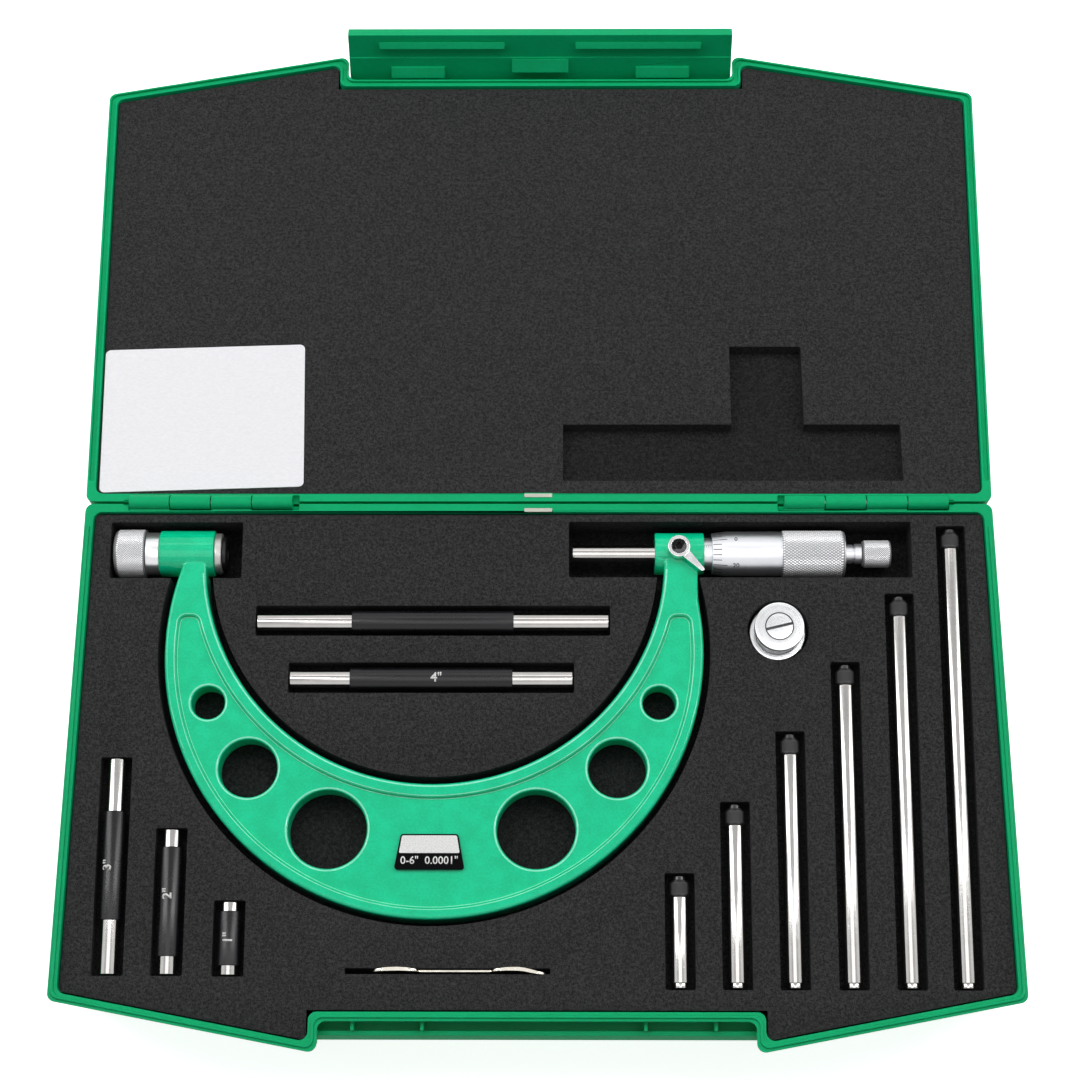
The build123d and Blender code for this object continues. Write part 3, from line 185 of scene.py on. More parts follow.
# ------------------------------------------------------------------ modelling bench
class Bench:
    """The modelling moves that every sub-assembly uses."""

    frame: ClassVar[dict]

    @staticmethod
    def solid(node: str) -> Piece:
        return Bench.frame["nodes"][node]

    @staticmethod
    def clear() -> None:
        """Leaves object mode on and nothing selected."""
        if bpy.context.object and bpy.context.object.mode != "OBJECT":
            bpy.ops.object.mode_set(mode="OBJECT")
        bpy.ops.object.select_all(action="DESELECT")

    @staticmethod
    def only(piece: Piece) -> None:
        """Makes a piece the one that is selected and active."""
        Bench.clear()
        piece.select_set(True)
        bpy.context.view_layer.objects.active = piece

    @staticmethod
    def edit(piece: Piece, kind: str = "VERT") -> None:
        """Opens a piece in edit mode with one kind of element to pick."""
        Bench.only(piece)
        bpy.ops.object.mode_set(mode="EDIT")
        bpy.ops.mesh.select_mode(type=kind)

    @staticmethod
    def close() -> None:
        """Goes back to object mode."""
        bpy.ops.object.mode_set(mode="OBJECT")

    @staticmethod
    def pick(piece: Piece, kind: str, wanted: Callable[[object], bool]) -> None:
        """Selects the elements of a mesh that pass a test, and opens edit mode.

        Args:
            piece: the mesh object.
            kind: VERT, EDGE or FACE.
            wanted: says of an element whether it is wanted.
        """
        Bench.edit(piece, kind)
        bpy.ops.mesh.select_all(action="DESELECT")
        Bench.close()
        mesh = piece.data
        for element in {"VERT": mesh.vertices, "EDGE": mesh.edges, "FACE": mesh.polygons}[kind]:
            element.select = wanted(element)
        bpy.ops.object.mode_set(mode="EDIT")

    @staticmethod
    def pick_points(piece: Piece, test: PointTest) -> None:
        """Selects the points whose place passes a test, and opens edit mode."""
        Bench.pick(piece, "VERT", lambda point: test(point.co))

    @staticmethod
    def push(piece: Piece, test: PointTest, move: Sequence[float], **falloff: object) -> None:
        """Moves the points whose place passes a test.

        Args:
            piece: the mesh object.
            test: says of a point's place whether it moves.
            move: the move, in metres.
            falloff: how the points round about follow, if they do.
        """
        Bench.pick_points(piece, test)
        bpy.ops.transform.translate(value=move, **falloff)
        Bench.close()

    @staticmethod
    def stretch(piece: Piece, test: PointTest, factors: Sequence[float],
                centre: Sequence[float]) -> None:
        """Stretches the points whose place passes a test.

        Args:
            piece: the mesh object.
            test: says of a point's place whether it moves.
            factors: how much, along X, Y and Z.
            centre: the point that stays, in metres.
        """
        Bench.pick_points(piece, test)
        bpy.ops.transform.resize(value=factors, center_override=centre)
        Bench.close()

    @staticmethod
    def name(piece: Piece, name: str) -> Piece:
        """Names a piece and its mesh alike."""
        piece.name = name
        piece.data.name = name
        return piece

    @staticmethod
    def settle(piece: Piece, place: Matrix | None = None) -> Piece:
        """Puts a piece's place into its mesh, so that the object sits at the origin.

        Args:
            piece: the mesh object.
            place: a further move, in the row frame.

        Returns:
            The same piece.
        """
        Bench.only(piece)
        if place is not None:
            piece.matrix_world = place @ piece.matrix_world
            bpy.context.view_layer.update()
        bpy.ops.object.transform_apply(location=True, rotation=True, scale=True)
        return piece

    @staticmethod
    def finish(piece: Piece, kind: str, **values: object) -> None:
        """Adds one modifier and applies it at once.

        Args:
            piece: the mesh object.
            kind: the modifier's type.
            values: its settings.
        """
        Bench.only(piece)
        modifier = piece.modifiers.new(kind.lower(), kind)
        for key, value in values.items():
            setattr(modifier, key, value)
        bpy.ops.object.modifier_apply(modifier=modifier.name)

    @staticmethod
    def smooth(piece: Piece, degrees: float) -> None:
        """Shades a piece smooth, apart from edges sharper than an angle."""
        Bench.only(piece)
        bpy.ops.object.shade_smooth_by_angle(angle=math.radians(degrees), keep_sharp_edges=False)

    @staticmethod
    def block(name: str, low: Vector, high: Vector) -> Piece:
        """A box to be cut and shaped further.

        Args:
            name: its name.
            low: its lowest corner, in metres.
            high: its highest corner, in metres.

        Returns:
            The box.
        """
        Bench.clear()
        bpy.ops.mesh.primitive_cube_add(size=1, location=(low + high) / 2)
        piece = bpy.context.object
        piece.scale = high - low
        return Bench.name(Bench.settle(piece), name)

    @staticmethod
    def round_uprights(piece: Piece, radius: float) -> None:
        """Rounds the upright edges of a block.

        Args:
            piece: the block.
            radius: the radius of each edge.
        """
        def upright(edge: bpy.types.MeshEdge) -> bool:
            """Whether an edge runs up."""
            first, last = (piece.data.vertices[k].co for k in edge.vertices)
            return abs((first - last).z) > 0.99 * (first - last).length

        Bench.pick(piece, "EDGE", upright)
        bpy.ops.mesh.bevel(offset=mm(radius), segments=3)
        Bench.close()

    @staticmethod
    def drum(name: str, middle: tuple[float, float], radius: float, ends: tuple[float, float],
             sides: int) -> Piece:
        """An upright round block, to be cut with.

        Args:
            name: its name.
            middle: x and y of its axis.
            radius: its radius.
            ends: the heights of its lower and its upper end.
            sides: how many sides it has.

        Returns:
            The block.
        """
        Bench.clear()
        bpy.ops.mesh.primitive_cylinder_add(
            vertices=sides, radius=mm(radius), depth=mm(ends[1] - ends[0]),
            location=mm(*middle, sum(ends) / 2))
        return Bench.name(Bench.settle(bpy.context.object), name)

    @staticmethod
    def carve(piece: Piece, tool: Piece) -> None:
        """Cuts one solid with another, which is then gone."""
        Bench.finish(piece, "BOOLEAN", operation="DIFFERENCE", object=tool, solver="EXACT")
        bpy.data.objects.remove(tool)

    @staticmethod
    def slice(piece: Piece, point: Vector, normal: Vector, **cut: bool) -> None:
        """Cuts the whole of a mesh along a plane.

        Args:
            piece: the mesh object.
            point: a point of the plane, in metres.
            normal: the plane's normal.
            cut: what is done on top of that, such as filling the cut.
        """
        Bench.edit(piece)
        bpy.ops.mesh.select_all(action="SELECT")
        bpy.ops.mesh.bisect(plane_co=point, plane_no=normal, **cut)
        Bench.close()

    @staticmethod
    def slice_off(piece: Piece, point: Vector, normal: Vector) -> None:
        """Cuts away what lies beyond a plane and closes the cut."""
        Bench.slice(piece, point, normal, use_fill=True, clear_outer=True)

    @staticmethod
    def outward(piece: Piece) -> None:
        """Merges doubled points and turns every face outwards.

        Args:
            piece: the mesh object.
        """
        Bench.edit(piece)
        bpy.ops.mesh.select_all(action="SELECT")
        bpy.ops.mesh.remove_doubles(threshold=1e-7)
        bpy.ops.mesh.normals_make_consistent(inside=False)
        Bench.close()

    @staticmethod
    def dress(piece: Piece, material: Paint, slot: str | None = None) -> Piece:
        """Gives a piece its one material.

        Args:
            piece: the mesh object.
            material: its material.
            slot: the record's slot for it, where the piece is new; not used.

        Returns:
            The same piece.
        """
        piece.data.materials.clear()
        piece.data.materials.append(material)
        return piece

    @staticmethod
    def stand_for(piece: Piece, node: str, material: Paint, slot: str) -> Piece:
        """Lets a finished piece stand for a solid, on the same body.

        Args:
            piece: the finished piece.
            node: the solid.
            material: its finish.
            slot: the record's slot for it.

        Returns:
            The same piece.
        """
        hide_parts(node)
        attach(piece, Bench.solid(node)["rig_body"])
        return Bench.dress(piece, material, slot)

    @staticmethod
    def second(piece: Piece, material: Paint, test: FaceTest) -> None:
        """Gives the faces of a piece that pass a test another material.

        Args:
            piece: the mesh object, already dressed.
            material: the material of the faces that pass.
            test: says of a face's centre and normal whether it is one of them.
        """
        piece.data.materials.append(material)
        Bench.pick(piece, "FACE", lambda face: test(face.center, face.normal))
        piece.active_material_index = len(piece.data.materials) - 1
        bpy.ops.object.material_slot_assign()
        Bench.close()


@dataclass(frozen=True)
class Deburr:
    """A finished copy of a solid, with its sharp edges broken, that stands for the solid."""

    edge: float
    steps: int = 2
    # points nearer than this are joined first, so that no edge is too short for the full width;
    # at 0 the shortest edge holds the width back
    merge: float = 0.0
    before: Callable[[Piece], None] | None = None

    sharp: ClassVar[float] = 28.0
    flat: ClassVar[float] = 0.4
    same_point: ClassVar[float] = 2e-6

    def copy(self, node: str) -> Piece:
        """The solid's mesh as a new piece, with its points joined and its flat faces whole.

        Args:
            node: the solid's name.

        Returns:
            The new piece.
        """
        name = f"{node}_finished"
        piece = bpy.data.objects.new(name, Bench.solid(node).data.copy())
        bpy.context.scene.collection.objects.link(piece)
        Bench.name(piece, name)
        Bench.edit(piece)
        bpy.ops.mesh.select_all(action="SELECT")
        bpy.ops.mesh.remove_doubles(threshold=max(mm(self.merge), self.same_point))
        bpy.ops.mesh.customdata_custom_splitnormals_clear()
        bpy.ops.mesh.mark_sharp(clear=True)
        bpy.ops.mesh.dissolve_limited(angle_limit=math.radians(self.flat))
        Bench.close()
        return piece

    def build(self, node: str, material: Paint, slot: str) -> Piece:
        """Finishes one solid.

        Args:
            node: the solid's name.
            material: its material.
            slot: the record's slot for it.

        Returns:
            The new piece, riding on the solid's body.
        """
        piece = self.copy(node)
        if self.before:
            self.before(piece)
        Bench.finish(piece, "BEVEL", width=mm(self.edge), segments=self.steps,
                     limit_method="ANGLE", angle_limit=math.radians(self.sharp),
                     use_clamp_overlap=not self.merge, miter_outer="MITER_ARC",
                     harden_normals=False)
        Bench.smooth(piece, self.sharp)
        Bench.finish(piece, "WEIGHTED_NORMAL", keep_sharp=True, weight=100)
        return Bench.stand_for(piece, node, material, slot)


@dataclass(frozen=True)
class Lathe:
    """Turned pieces that stand for the round solids whose axes point one way."""

    along: Along

    plain_sharp: ClassVar[float] = 24.0
    knurled_sharp: ClassVar[float] = 20.0

    @staticmethod
    def rounded(start: float, end: float, radius: float, edge: float) -> list[tuple[float, float]]:
        """A stretch of profile with both corners rounded off.

        Args:
            start: where it starts along the axis.
            end: where it ends.
            radius: its radius.
            edge: the radius of each corner.

        Returns:
            The rings, in order.
        """
        bend = [(edge * (1 - math.cos(turn)), edge * (1 - math.sin(turn)))
                for turn in (0.0, math.pi / 6, math.pi / 3, math.pi / 2)]
        return ([(start + along, radius - inward) for along, inward in bend]
                + [(end - along, radius - inward) for along, inward in reversed(bend)])

    def start(self, node: str) -> Vector:
        """The middle of the end from which a solid's axis starts.

        Args:
            node: the solid.

        Returns:
            The point, in metres.
        """
        low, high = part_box(node)
        place = (low + high) / 2
        axis = [abs(part) for part in self.along.value].index(1.0)
        place[axis] = (high if self.along is Along.FRONT else low)[axis]
        return place

    def length(self, node: str) -> float:
        """How long a solid is along its axis."""
        low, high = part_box(node)
        return abs((high - low).dot(Vector(self.along.value))) / MM

    @staticmethod
    def rings(profile: Profile, sides: int) -> Piece:
        """Extrudes a wall ring by ring, upwards from the origin.

        Args:
            profile: (distance along the axis, radius) of each ring, in order.
            sides: how many sides each ring has.

        Returns:
            The open wall, in edit mode.
        """
        Bench.clear()
        start, radius = profile[0]
        bpy.ops.mesh.primitive_circle_add(vertices=sides, radius=mm(radius),
                                          location=(0, 0, mm(start)))
        piece = Bench.settle(bpy.context.object)
        Bench.edit(piece)
        bpy.ops.mesh.select_all(action="SELECT")
        for (before, wide), (after, next_wide) in zip(profile, profile[1:]):
            bpy.ops.mesh.extrude_region_move(
                TRANSFORM_OT_translate={"value": (0, 0, mm(after - before))})
            ratio = next_wide / wide
            bpy.ops.transform.resize(value=(ratio, ratio, 1), center_override=(0, 0, 0))
        return piece

    def mesh(self, name: str, node: str, profile: Profile, sides: int,
             hollow: bool = False) -> Piece:
        """The closed mesh of a turned piece.

        Args:
            name: the piece's name.
            node: the solid that it is to stand for.
            profile: (distance from the solid's start, radius) of each ring, in order.
            sides: how many sides each ring has.
            hollow: joins the last ring to the first, where the profile is a closed wall.

        Returns:
            The piece, in place and still to be seated.
        """
        piece = self.rings(profile, sides)
        if hollow:
            bpy.ops.mesh.select_all(action="DESELECT")
            bpy.ops.mesh.select_non_manifold()
            bpy.ops.mesh.bridge_edge_loops()
        else:
            start, radius = profile[0]
            bpy.ops.mesh.edge_face_add()
            Bench.pick_points(piece, lambda co: abs(co.z - mm(start)) < 1e-7
                              and abs(co.xy.length - mm(radius)) < 1e-6)
            bpy.ops.mesh.edge_face_add()
        Bench.close()
        Bench.outward(piece)
        place = Matrix.Translation(self.start(node)) @ self.along.matrix()
        return Bench.name(Bench.settle(piece, place), name)

    def turn(self, node: str, profile: Profile, material: Paint, slot: str,
             hollow: bool = False, sides: int = 72) -> Piece:
        """Turns the piece for one round solid.

        Args:
            node: the solid.
            profile: (distance from its start, radius) of each ring.
            material: its finish.
            slot: the record's slot for it.
            hollow: whether the profile is a closed wall.
            sides: how many sides each ring has.

        Returns:
            The piece, in place and dressed.
        """
        piece = self.mesh(f"{node}_turned", node, profile, sides, hollow)
        Bench.smooth(piece, self.plain_sharp)
        return Bench.stand_for(piece, node, material, slot)

    def knurl(self, node: str, before: Profile, band: "Knurl", after: Profile,
              material: Paint, slot: str, hollow: bool = False
              ) -> Piece:
        """Turns the piece for one round solid that has a knurled band.

        Args:
            node: the solid.
            before: the profile up to the band.
            band: the knurled band.
            after: the profile beyond the band.
            material: its finish.
            slot: the record's slot for it.
            hollow: whether the profile is a closed wall.

        Returns:
            The piece, in place and dressed.
        """
        piece = self.mesh(f"{node}_knurled", node, [*before, *band.rings(), *after],
                          band.columns(), hollow)
        band.raise_points(piece, self.start(node), self.along)
        Bench.smooth(piece, self.knurled_sharp)
        return Bench.stand_for(piece, node, material, slot)


# ------------------------------------------------------------------ shader building
class NodeBoard:
    """A node tree with short ways to add and join nodes."""

    def __init__(self, tree: bpy.types.NodeTree) -> None:
        """Takes the tree that the nodes go into."""
        self.tree = tree

    def add(self, kind: str, **values: object) -> bpy.types.Node:
        """Adds a node.

        Args:
            kind: its type.
            values: its own properties.

        Returns:
            The node.
        """
        node = self.tree.nodes.new(kind)
        for key, value in values.items():
            setattr(node, key, value)
        return node

    def join(self, source: object, target: object) -> None:
        """Joins two sockets, or sets a constant.

        Args:
            source: an output socket or a plain value.
            target: the input socket.
        """
        if isinstance(source, Socket):
            self.tree.links.new(source, target)
        else:
            target.default_value = source

    def fill(self, node: bpy.types.Node, **values: object) -> bpy.types.Node:
        """Joins or sets a node's inputs.

        Args:
            node: the node.
            values: what each input gets; underscores stand for spaces.

        Returns:
            The same node.
        """
        for key, value in values.items():
            self.join(value, node.inputs[key.replace("_", " ")])
        return node

    def math(self, operation: str, first: object, second: object = 0.0 ) -> Socket:
        """A Math node.

        Args:
            operation: what it works out.
            first: a socket or a number.
            second: a socket or a number.

        Returns:
            The result's socket.
        """
        node = self.add("ShaderNodeMath", operation=operation)
        for value, socket in zip((first, second), node.inputs):
            self.join(value, socket)
        return node.outputs[0]

    def times(self, first: object, second: object) -> Socket:
        """The product of two sockets or numbers."""
        return self.math("MULTIPLY", first, second)

    def plus(self, first: object, second: object) -> Socket:
        """The sum of two sockets or numbers."""
        return self.math("ADD", first, second)

    def ramp(self, value: object, low: float, high: float, out_low: float = 0.0,
             out_high: float = 1.0, smooth: bool = True) -> Socket:
        """Maps a value from one range to another, held at both ends.

        Args:
            value: the socket to map.
            low: where its range starts.
            high: where its range ends.
            out_low: what the start becomes.
            out_high: what the end becomes.
            smooth: whether it eases in and out.

        Returns:
            The mapped socket.
        """
        node = self.add("ShaderNodeMapRange",
                        interpolation_type="SMOOTHSTEP" if smooth else "LINEAR")
        self.fill(node, Value=value, From_Min=low, From_Max=high, To_Min=out_low, To_Max=out_high)
        return node.outputs["Result"]

    def mix(self, share: object, first: object, second: object) -> Socket:
        """Mixes two colours.

        Args:
            share: how much of the second there is.
            first: the colour at 0.
            second: the colour at 1.

        Returns:
            The mixed colour.
        """
        node = self.add("ShaderNodeMix", data_type="RGBA")
        for value, socket in ((share, 0), (first, 6), (second, 7)):
            self.join(value, node.inputs[socket])
        return node.outputs[2]

    def noise(self, vector: object, scale: object, detail: float = 2.0,
              roughness: float = 0.5) -> Socket:
        """A noise value in 3-D.

        Args:
            vector: where it is taken.
            scale: how fine it is.
            detail: how many finer layers it has.
            roughness: how strong they are.

        Returns:
            The value's socket.
        """
        node = self.fill(self.add("ShaderNodeTexNoise"), Vector=vector, Scale=scale,
                         Detail=detail, Roughness=roughness)
        return node.outputs["Fac"]

    def cells(self, feature: str, vector: object, scale: object) -> Socket:
        """The distance to the nearest cell centre.

        Args:
            feature: how neighbouring cells meet.
            vector: where it is taken.
            scale: how fine the cells are.

        Returns:
            The distance's socket.
        """
        node = self.fill(self.add("ShaderNodeTexVoronoi", feature=feature), Vector=vector,
                         Scale=scale)
        return node.outputs["Distance"]

    def off_axis(self, vector: object) -> tuple[object, Socket]:
        """Splits a vector, and gives its distance from the first axis.

        Args:
            vector: the socket to split.

        Returns:
            The three outputs of the split, and the distance.
        """
        parts = self.fill(self.add("ShaderNodeSeparateXYZ"), Vector=vector).outputs
        squares = [self.math("POWER", parts[k], 2.0) for k in (1, 2)]
        return parts, self.math("SQRT", self.plus(*squares))

    def group(self, tree: bpy.types.NodeTree, **values: object) -> bpy.types.Node:
        """Places a shared group with its own values."""
        return self.fill(self.add("ShaderNodeGroup", node_tree=tree), **values)

    def place(self, centre: Vector = Vector((0, 0, 0)),
              turn: tuple[float, float, float] = (0, 0, 0),
              stretch: tuple[float, float, float] = (1, 1, 1)) -> Socket:
        """Object coordinates, moved, then turned and stretched.

        Args:
            centre: the point that becomes the centre, in metres.
            turn: the angles of the turn.
            stretch: the factors of the stretch.

        Returns:
            The vector's socket.
        """
        source = self.add("ShaderNodeTexCoord").outputs["Object"]
        shift = self.fill(self.add("ShaderNodeMapping", vector_type="POINT"), Vector=source,
                          Location=tuple(-part for part in centre))
        turned = self.fill(self.add("ShaderNodeMapping", vector_type="POINT"),
                           Vector=shift.outputs["Vector"], Rotation=turn, Scale=stretch)
        return turned.outputs["Vector"]

    def rays(self, camera: float, mirrored: object) -> Socket:
        """A glow that only the camera and mirrors see.

        Args:
            camera: how strong it is to the camera.
            mirrored: how strong it is in gloss and through glass.

        Returns:
            The glow's socket.
        """
        path = self.add("ShaderNodeLightPath").outputs
        gloss = self.math("MAXIMUM", path["Is Glossy Ray"], path["Is Transmission Ray"])
        return self.plus(self.times(path["Is Camera Ray"], camera), self.times(gloss, mirrored))


class SharedEffects:
    """The node groups that several finishes use, each built once."""

    def __init__(self) -> None:
        """Builds every group."""
        vector, number, colour = (f"NodeSocket{kind}" for kind in ("Vector", "Float", "Color"))
        speckle = {"Height": number, "Mask": number}
        self.mottle = self._build(
            "Mottle", self._mottle,
            {"Vector": vector, "Scale": number, "Dark": colour, "Light": colour},
            {"Color": colour})
        self.grain = self._build("Moulded_grain", self._grain,
                                 {"Vector": vector, "Scale": number}, speckle)
        self.lathe = self._build("Lathe_marks", self._lathe,
                                 {"Vector": vector, "Density": number},
                                 {"Height": number, "Roughness": number})
        self.pores = self._build("Foam_pores", self._pores,
                                 {"Vector": vector, "Scale": number}, speckle)

    @staticmethod
    def _build(name: str, fill: Callable[[NodeBoard, object, object], None],
               inputs: dict[str, str], outputs: dict[str, str]) -> bpy.types.NodeTree:
        """Makes one group.

        Args:
            name: its name.
            fill: the function that fills it.
            inputs: the kind of each input.
            outputs: the kind of each output.

        Returns:
            The group.
        """
        tree = bpy.data.node_groups.new(name, "ShaderNodeTree")
        for way, sockets in (("INPUT", inputs), ("OUTPUT", outputs)):
            for key, kind in sockets.items():
                tree.interface.new_socket(key, in_out=way, socket_type=kind)
        board = NodeBoard(tree)
        fill(board, board.add("NodeGroupInput").outputs, board.add("NodeGroupOutput").inputs)
        return tree

    @staticmethod
    def _noise_at(board: NodeBoard, given: object, factor: float, detail: float) -> Socket:
        """A noise whose scale is the group's own scale times a factor."""
        return board.noise(given["Vector"], board.times(given["Scale"], factor), detail)

    @staticmethod
    def _mottle(board: NodeBoard, given: object, out: object) -> None:
        """Two colours in soft patches with a finer speckle over them."""
        broad = SharedEffects._noise_at(board, given, 1.0, 3.0)
        fine = SharedEffects._noise_at(board, given, 9.0, 2.0)
        share = board.ramp(board.plus(board.times(broad, 0.6), board.times(fine, 0.4)),
                           0.32, 0.68)
        board.join(board.mix(share, given["Dark"], given["Light"]), out["Color"])

    @staticmethod
    def _grain(board: NodeBoard, given: object, out: object) -> None:
        """Small rounded cells, as spark-eroded moulds leave on plastic."""
        cells = board.cells("SMOOTH_F1", given["Vector"], given["Scale"])
        fine = SharedEffects._noise_at(board, given, 0.6, 3.0)
        board.join(board.plus(board.times(cells, 0.5), board.times(fine, 0.5)), out["Height"])
        board.join(board.ramp(fine, 0.35, 0.65), out["Mask"])

    @staticmethod
    def _lathe(board: NodeBoard, given: object, out: object) -> None:
        """Fine rings round the first axis of the vector."""
        parts, radius = board.off_axis(given["Vector"])
        rings = board.fill(board.add("ShaderNodeCombineXYZ"),
                           X=board.times(parts[0], given["Density"]),
                           Y=board.times(radius, given["Density"]))
        marks = board.noise(rings.outputs[0], 1.0, 3.0, 0.6)
        board.join(marks, out["Height"])
        board.join(board.ramp(marks, 0.3, 0.7), out["Roughness"])

    @staticmethod
    def _pores(board: NodeBoard, given: object, out: object) -> None:
        """Cut cells of a foam: tiny pits of mixed size between brighter walls; the mask is low in
        the pits, which get painted shade.
        """
        cells = board.cells("F1", given["Vector"], given["Scale"])
        fine = SharedEffects._noise_at(board, given, 0.45, 4.0)
        mixed = board.plus(board.times(cells, 0.6), board.times(fine, 0.9))
        board.join(mixed, out["Height"])
        board.join(board.ramp(mixed, 0.42, 1.0), out["Mask"])


class Surface:
    """A material whose Principled shader a finish fills in."""

    effects: ClassVar[SharedEffects]

    def __init__(self, name: str) -> None:
        """Makes an empty material with one Principled shader.

        Args:
            name: the material's name.
        """
        self.material = bpy.data.materials.new(name)
        self.material.use_nodes = True
        tree = self.material.node_tree
        self.board = NodeBoard(tree)
        self.shader = tree.nodes["Principled BSDF"]

    def set(self, **values: object) -> None:
        """Joins or sets the shader's sockets; underscores stand for spaces."""
        self.board.fill(self.shader, **values)

    def engrave(self, marks: object, where: object, colour: Colour) -> None:
        """Paints satin chrome with black-filled lines.

        Args:
            marks: 1 in a line and 0 outside it.
            where: the vector of the lathe marks.
            colour: the chrome's colour.
        """
        board = self.board
        lathe = board.group(self.effects.lathe, Vector=where, Density=9000.0).outputs
        self.set(Base_Color=board.mix(marks, colour, ENGRAVED_BLACK),
                 Metallic=board.math("SUBTRACT", 1.0, board.times(marks, 0.7)),
                 Roughness=board.plus(0.35, board.times(lathe["Roughness"], 0.1)))
        self.bump(board.math("SUBTRACT", board.times(lathe["Height"], 0.1), marks), 0.4, 0.00003)

    def bump(self, height: object, strength: float, distance: float) -> None:
        """Feeds a height to the shader's normal.

        Args:
            height: the height's socket.
            strength: how much of it shows.
            distance: how high 1 stands, in metres.
        """
        node = self.board.fill(self.board.add("ShaderNodeBump"), Strength=strength,
                               Distance=distance, Height=height)
        self.set(Normal=node.outputs["Normal"])


# ------------------------------------------------------------------ finishes
@dataclass(frozen=True)
class Finish:
    """A kind of material; each kind paints its own shader."""

    name: str

    def build(self) -> Paint:
        """Makes the material.

        Returns:
            The material.
        """
        surface = Surface(self.name)
        self.paint(surface, surface.board)
        return surface.material

    def paint(self, surface: Surface, board: NodeBoard) -> None:
        """Fills in the shader of a new surface.

        Args:
            surface: the surface.
            board: its node tree.
        """
        raise NotImplementedError


@dataclass(frozen=True)
class MouldedPlastic(Finish):
    """Injection-moulded plastic with a fine eroded texture."""

    dark: Colour
    light: Colour
    roughness: float
    shine: float = 0.5
    grain: float = 2600.0
    depth: float = 0.00002

    def paint(self, surface: Surface, board: NodeBoard) -> None:
        """Mottled plastic with broad flow marks."""
        where = board.place()
        grain = board.group(surface.effects.grain, Vector=where, Scale=self.grain).outputs
        colour = board.group(surface.effects.mottle, Vector=where, Scale=55.0, Dark=self.dark,
                             Light=self.light)
        flow = board.ramp(board.noise(where, 30.0, 3.0), 0.3, 0.7, self.roughness - 0.05,
                          self.roughness + 0.05)
        surface.set(Base_Color=colour.outputs["Color"],
                    Roughness=board.plus(flow, board.times(grain["Mask"], 0.04)),
                    Specular_IOR_Level=self.shine)
        surface.bump(grain["Height"], 0.5, self.depth)


@dataclass(frozen=True)
class Enamel(Finish):
    """Sprayed gloss enamel on cast iron, with orange peel under a clear coat."""

    dark: Colour
    light: Colour
    coat: float = 0.65
    coat_roughness: float = 0.09
    depth: float = 0.00014

    def paint(self, surface: Surface, board: NodeBoard) -> None:
        """Two layers of peel: a fine one and a broad one."""
        where = board.place()
        peel = board.noise(where, 520.0, 2.0, 0.45)
        broad = board.noise(where, 90.0)
        colour = board.group(surface.effects.mottle, Vector=where, Scale=140.0, Dark=self.dark,
                             Light=self.light)
        surface.set(Base_Color=colour.outputs["Color"],
                    Roughness=board.ramp(peel, 0.3, 0.7, 0.3, 0.4), Coat_Weight=self.coat,
                    Coat_Roughness=self.coat_roughness, Specular_IOR_Level=0.05)
        surface.bump(board.plus(peel, board.times(broad, 0.8)), 0.6, self.depth)


@dataclass(frozen=True)
class TurnedMetal(Finish):
    """Metal with fine lathe marks round an axis."""

    colour: Colour
    axis: Along
    centre: tuple[float, float, float]
    roughness: float = 0.22
    spread: float = 0.12
    density: float = 9000.0
    depth: float = 0.000002
    metallic: float = 1.0

    def paint(self, surface: Surface, board: NodeBoard) -> None:
        """Rings of changing roughness, and faint duller patches."""
        where = board.place(mm(*self.centre), self.axis.to_first())
        marks = board.group(surface.effects.lathe, Vector=where, Density=self.density).outputs
        dull = board.ramp(board.noise(board.place(), 160.0, 3.0), 0.35, 0.65)
        surface.set(Base_Color=board.mix(dull, shade(self.colour, 0.94), self.colour),
                    Metallic=self.metallic,
                    Roughness=board.plus(self.roughness - self.spread / 2,
                                         board.times(marks["Roughness"], self.spread)))
        surface.bump(marks["Height"], 0.35, self.depth)


@dataclass(frozen=True)
class PlainMetal(Finish):
    """Metal with no direction in its finish: blasted, blackened or pressed."""

    colour: Colour
    roughness: float
    grain: float = 900.0
    metallic: float = 1.0

    def paint(self, surface: Surface, board: NodeBoard) -> None:
        """Fine grain, with rubbed patches that are lighter and smoother."""
        where = board.place()
        grain = board.group(surface.effects.grain, Vector=where, Scale=self.grain)
        rub = board.ramp(board.noise(where, 240.0, 4.0), 0.35, 0.7)
        surface.set(Base_Color=board.mix(rub, self.colour, shade(self.colour, 1.25)),
                    Metallic=self.metallic,
                    Roughness=board.ramp(rub, 0.0, 1.0, self.roughness, self.roughness * 0.8))
        surface.bump(grain.outputs["Height"], 0.4, 0.000012)


@dataclass(frozen=True)
class KnurledMetal(Finish):
    """Knurled metal, with painted shade down in the grooves and a painted highlight on the peaks.
    """

    # the colour low in the grooves is painted shade, and the colour on the peaks a painted
    # highlight
    groove_painted_shade: Colour
    peak: Colour
    axis: Along
    centre: tuple[float, float, float]
    radii: tuple[float, float]
    metallic: float
    roughness: float = 0.3

    def paint(self, surface: Surface, board: NodeBoard) -> None:
        """The colour and the roughness go by the distance from the axis; the colour is painted
        shade near the roots and a painted highlight near the peaks.
        """
        _, distance = board.off_axis(board.place(mm(*self.centre), self.axis.to_first()))
        share = board.ramp(distance, *(mm(radius) for radius in self.radii), smooth=False)
        grain = board.group(surface.effects.grain, Vector=board.place(), Scale=2600.0)
        surface.set(Base_Color=board.mix(share, self.groove_painted_shade, self.peak), Metallic=self.metallic,
                    Roughness=board.ramp(share, 0.0, 1.0, self.roughness + 0.15, self.roughness))
        surface.bump(grain.outputs["Height"], 0.3, 0.00001)


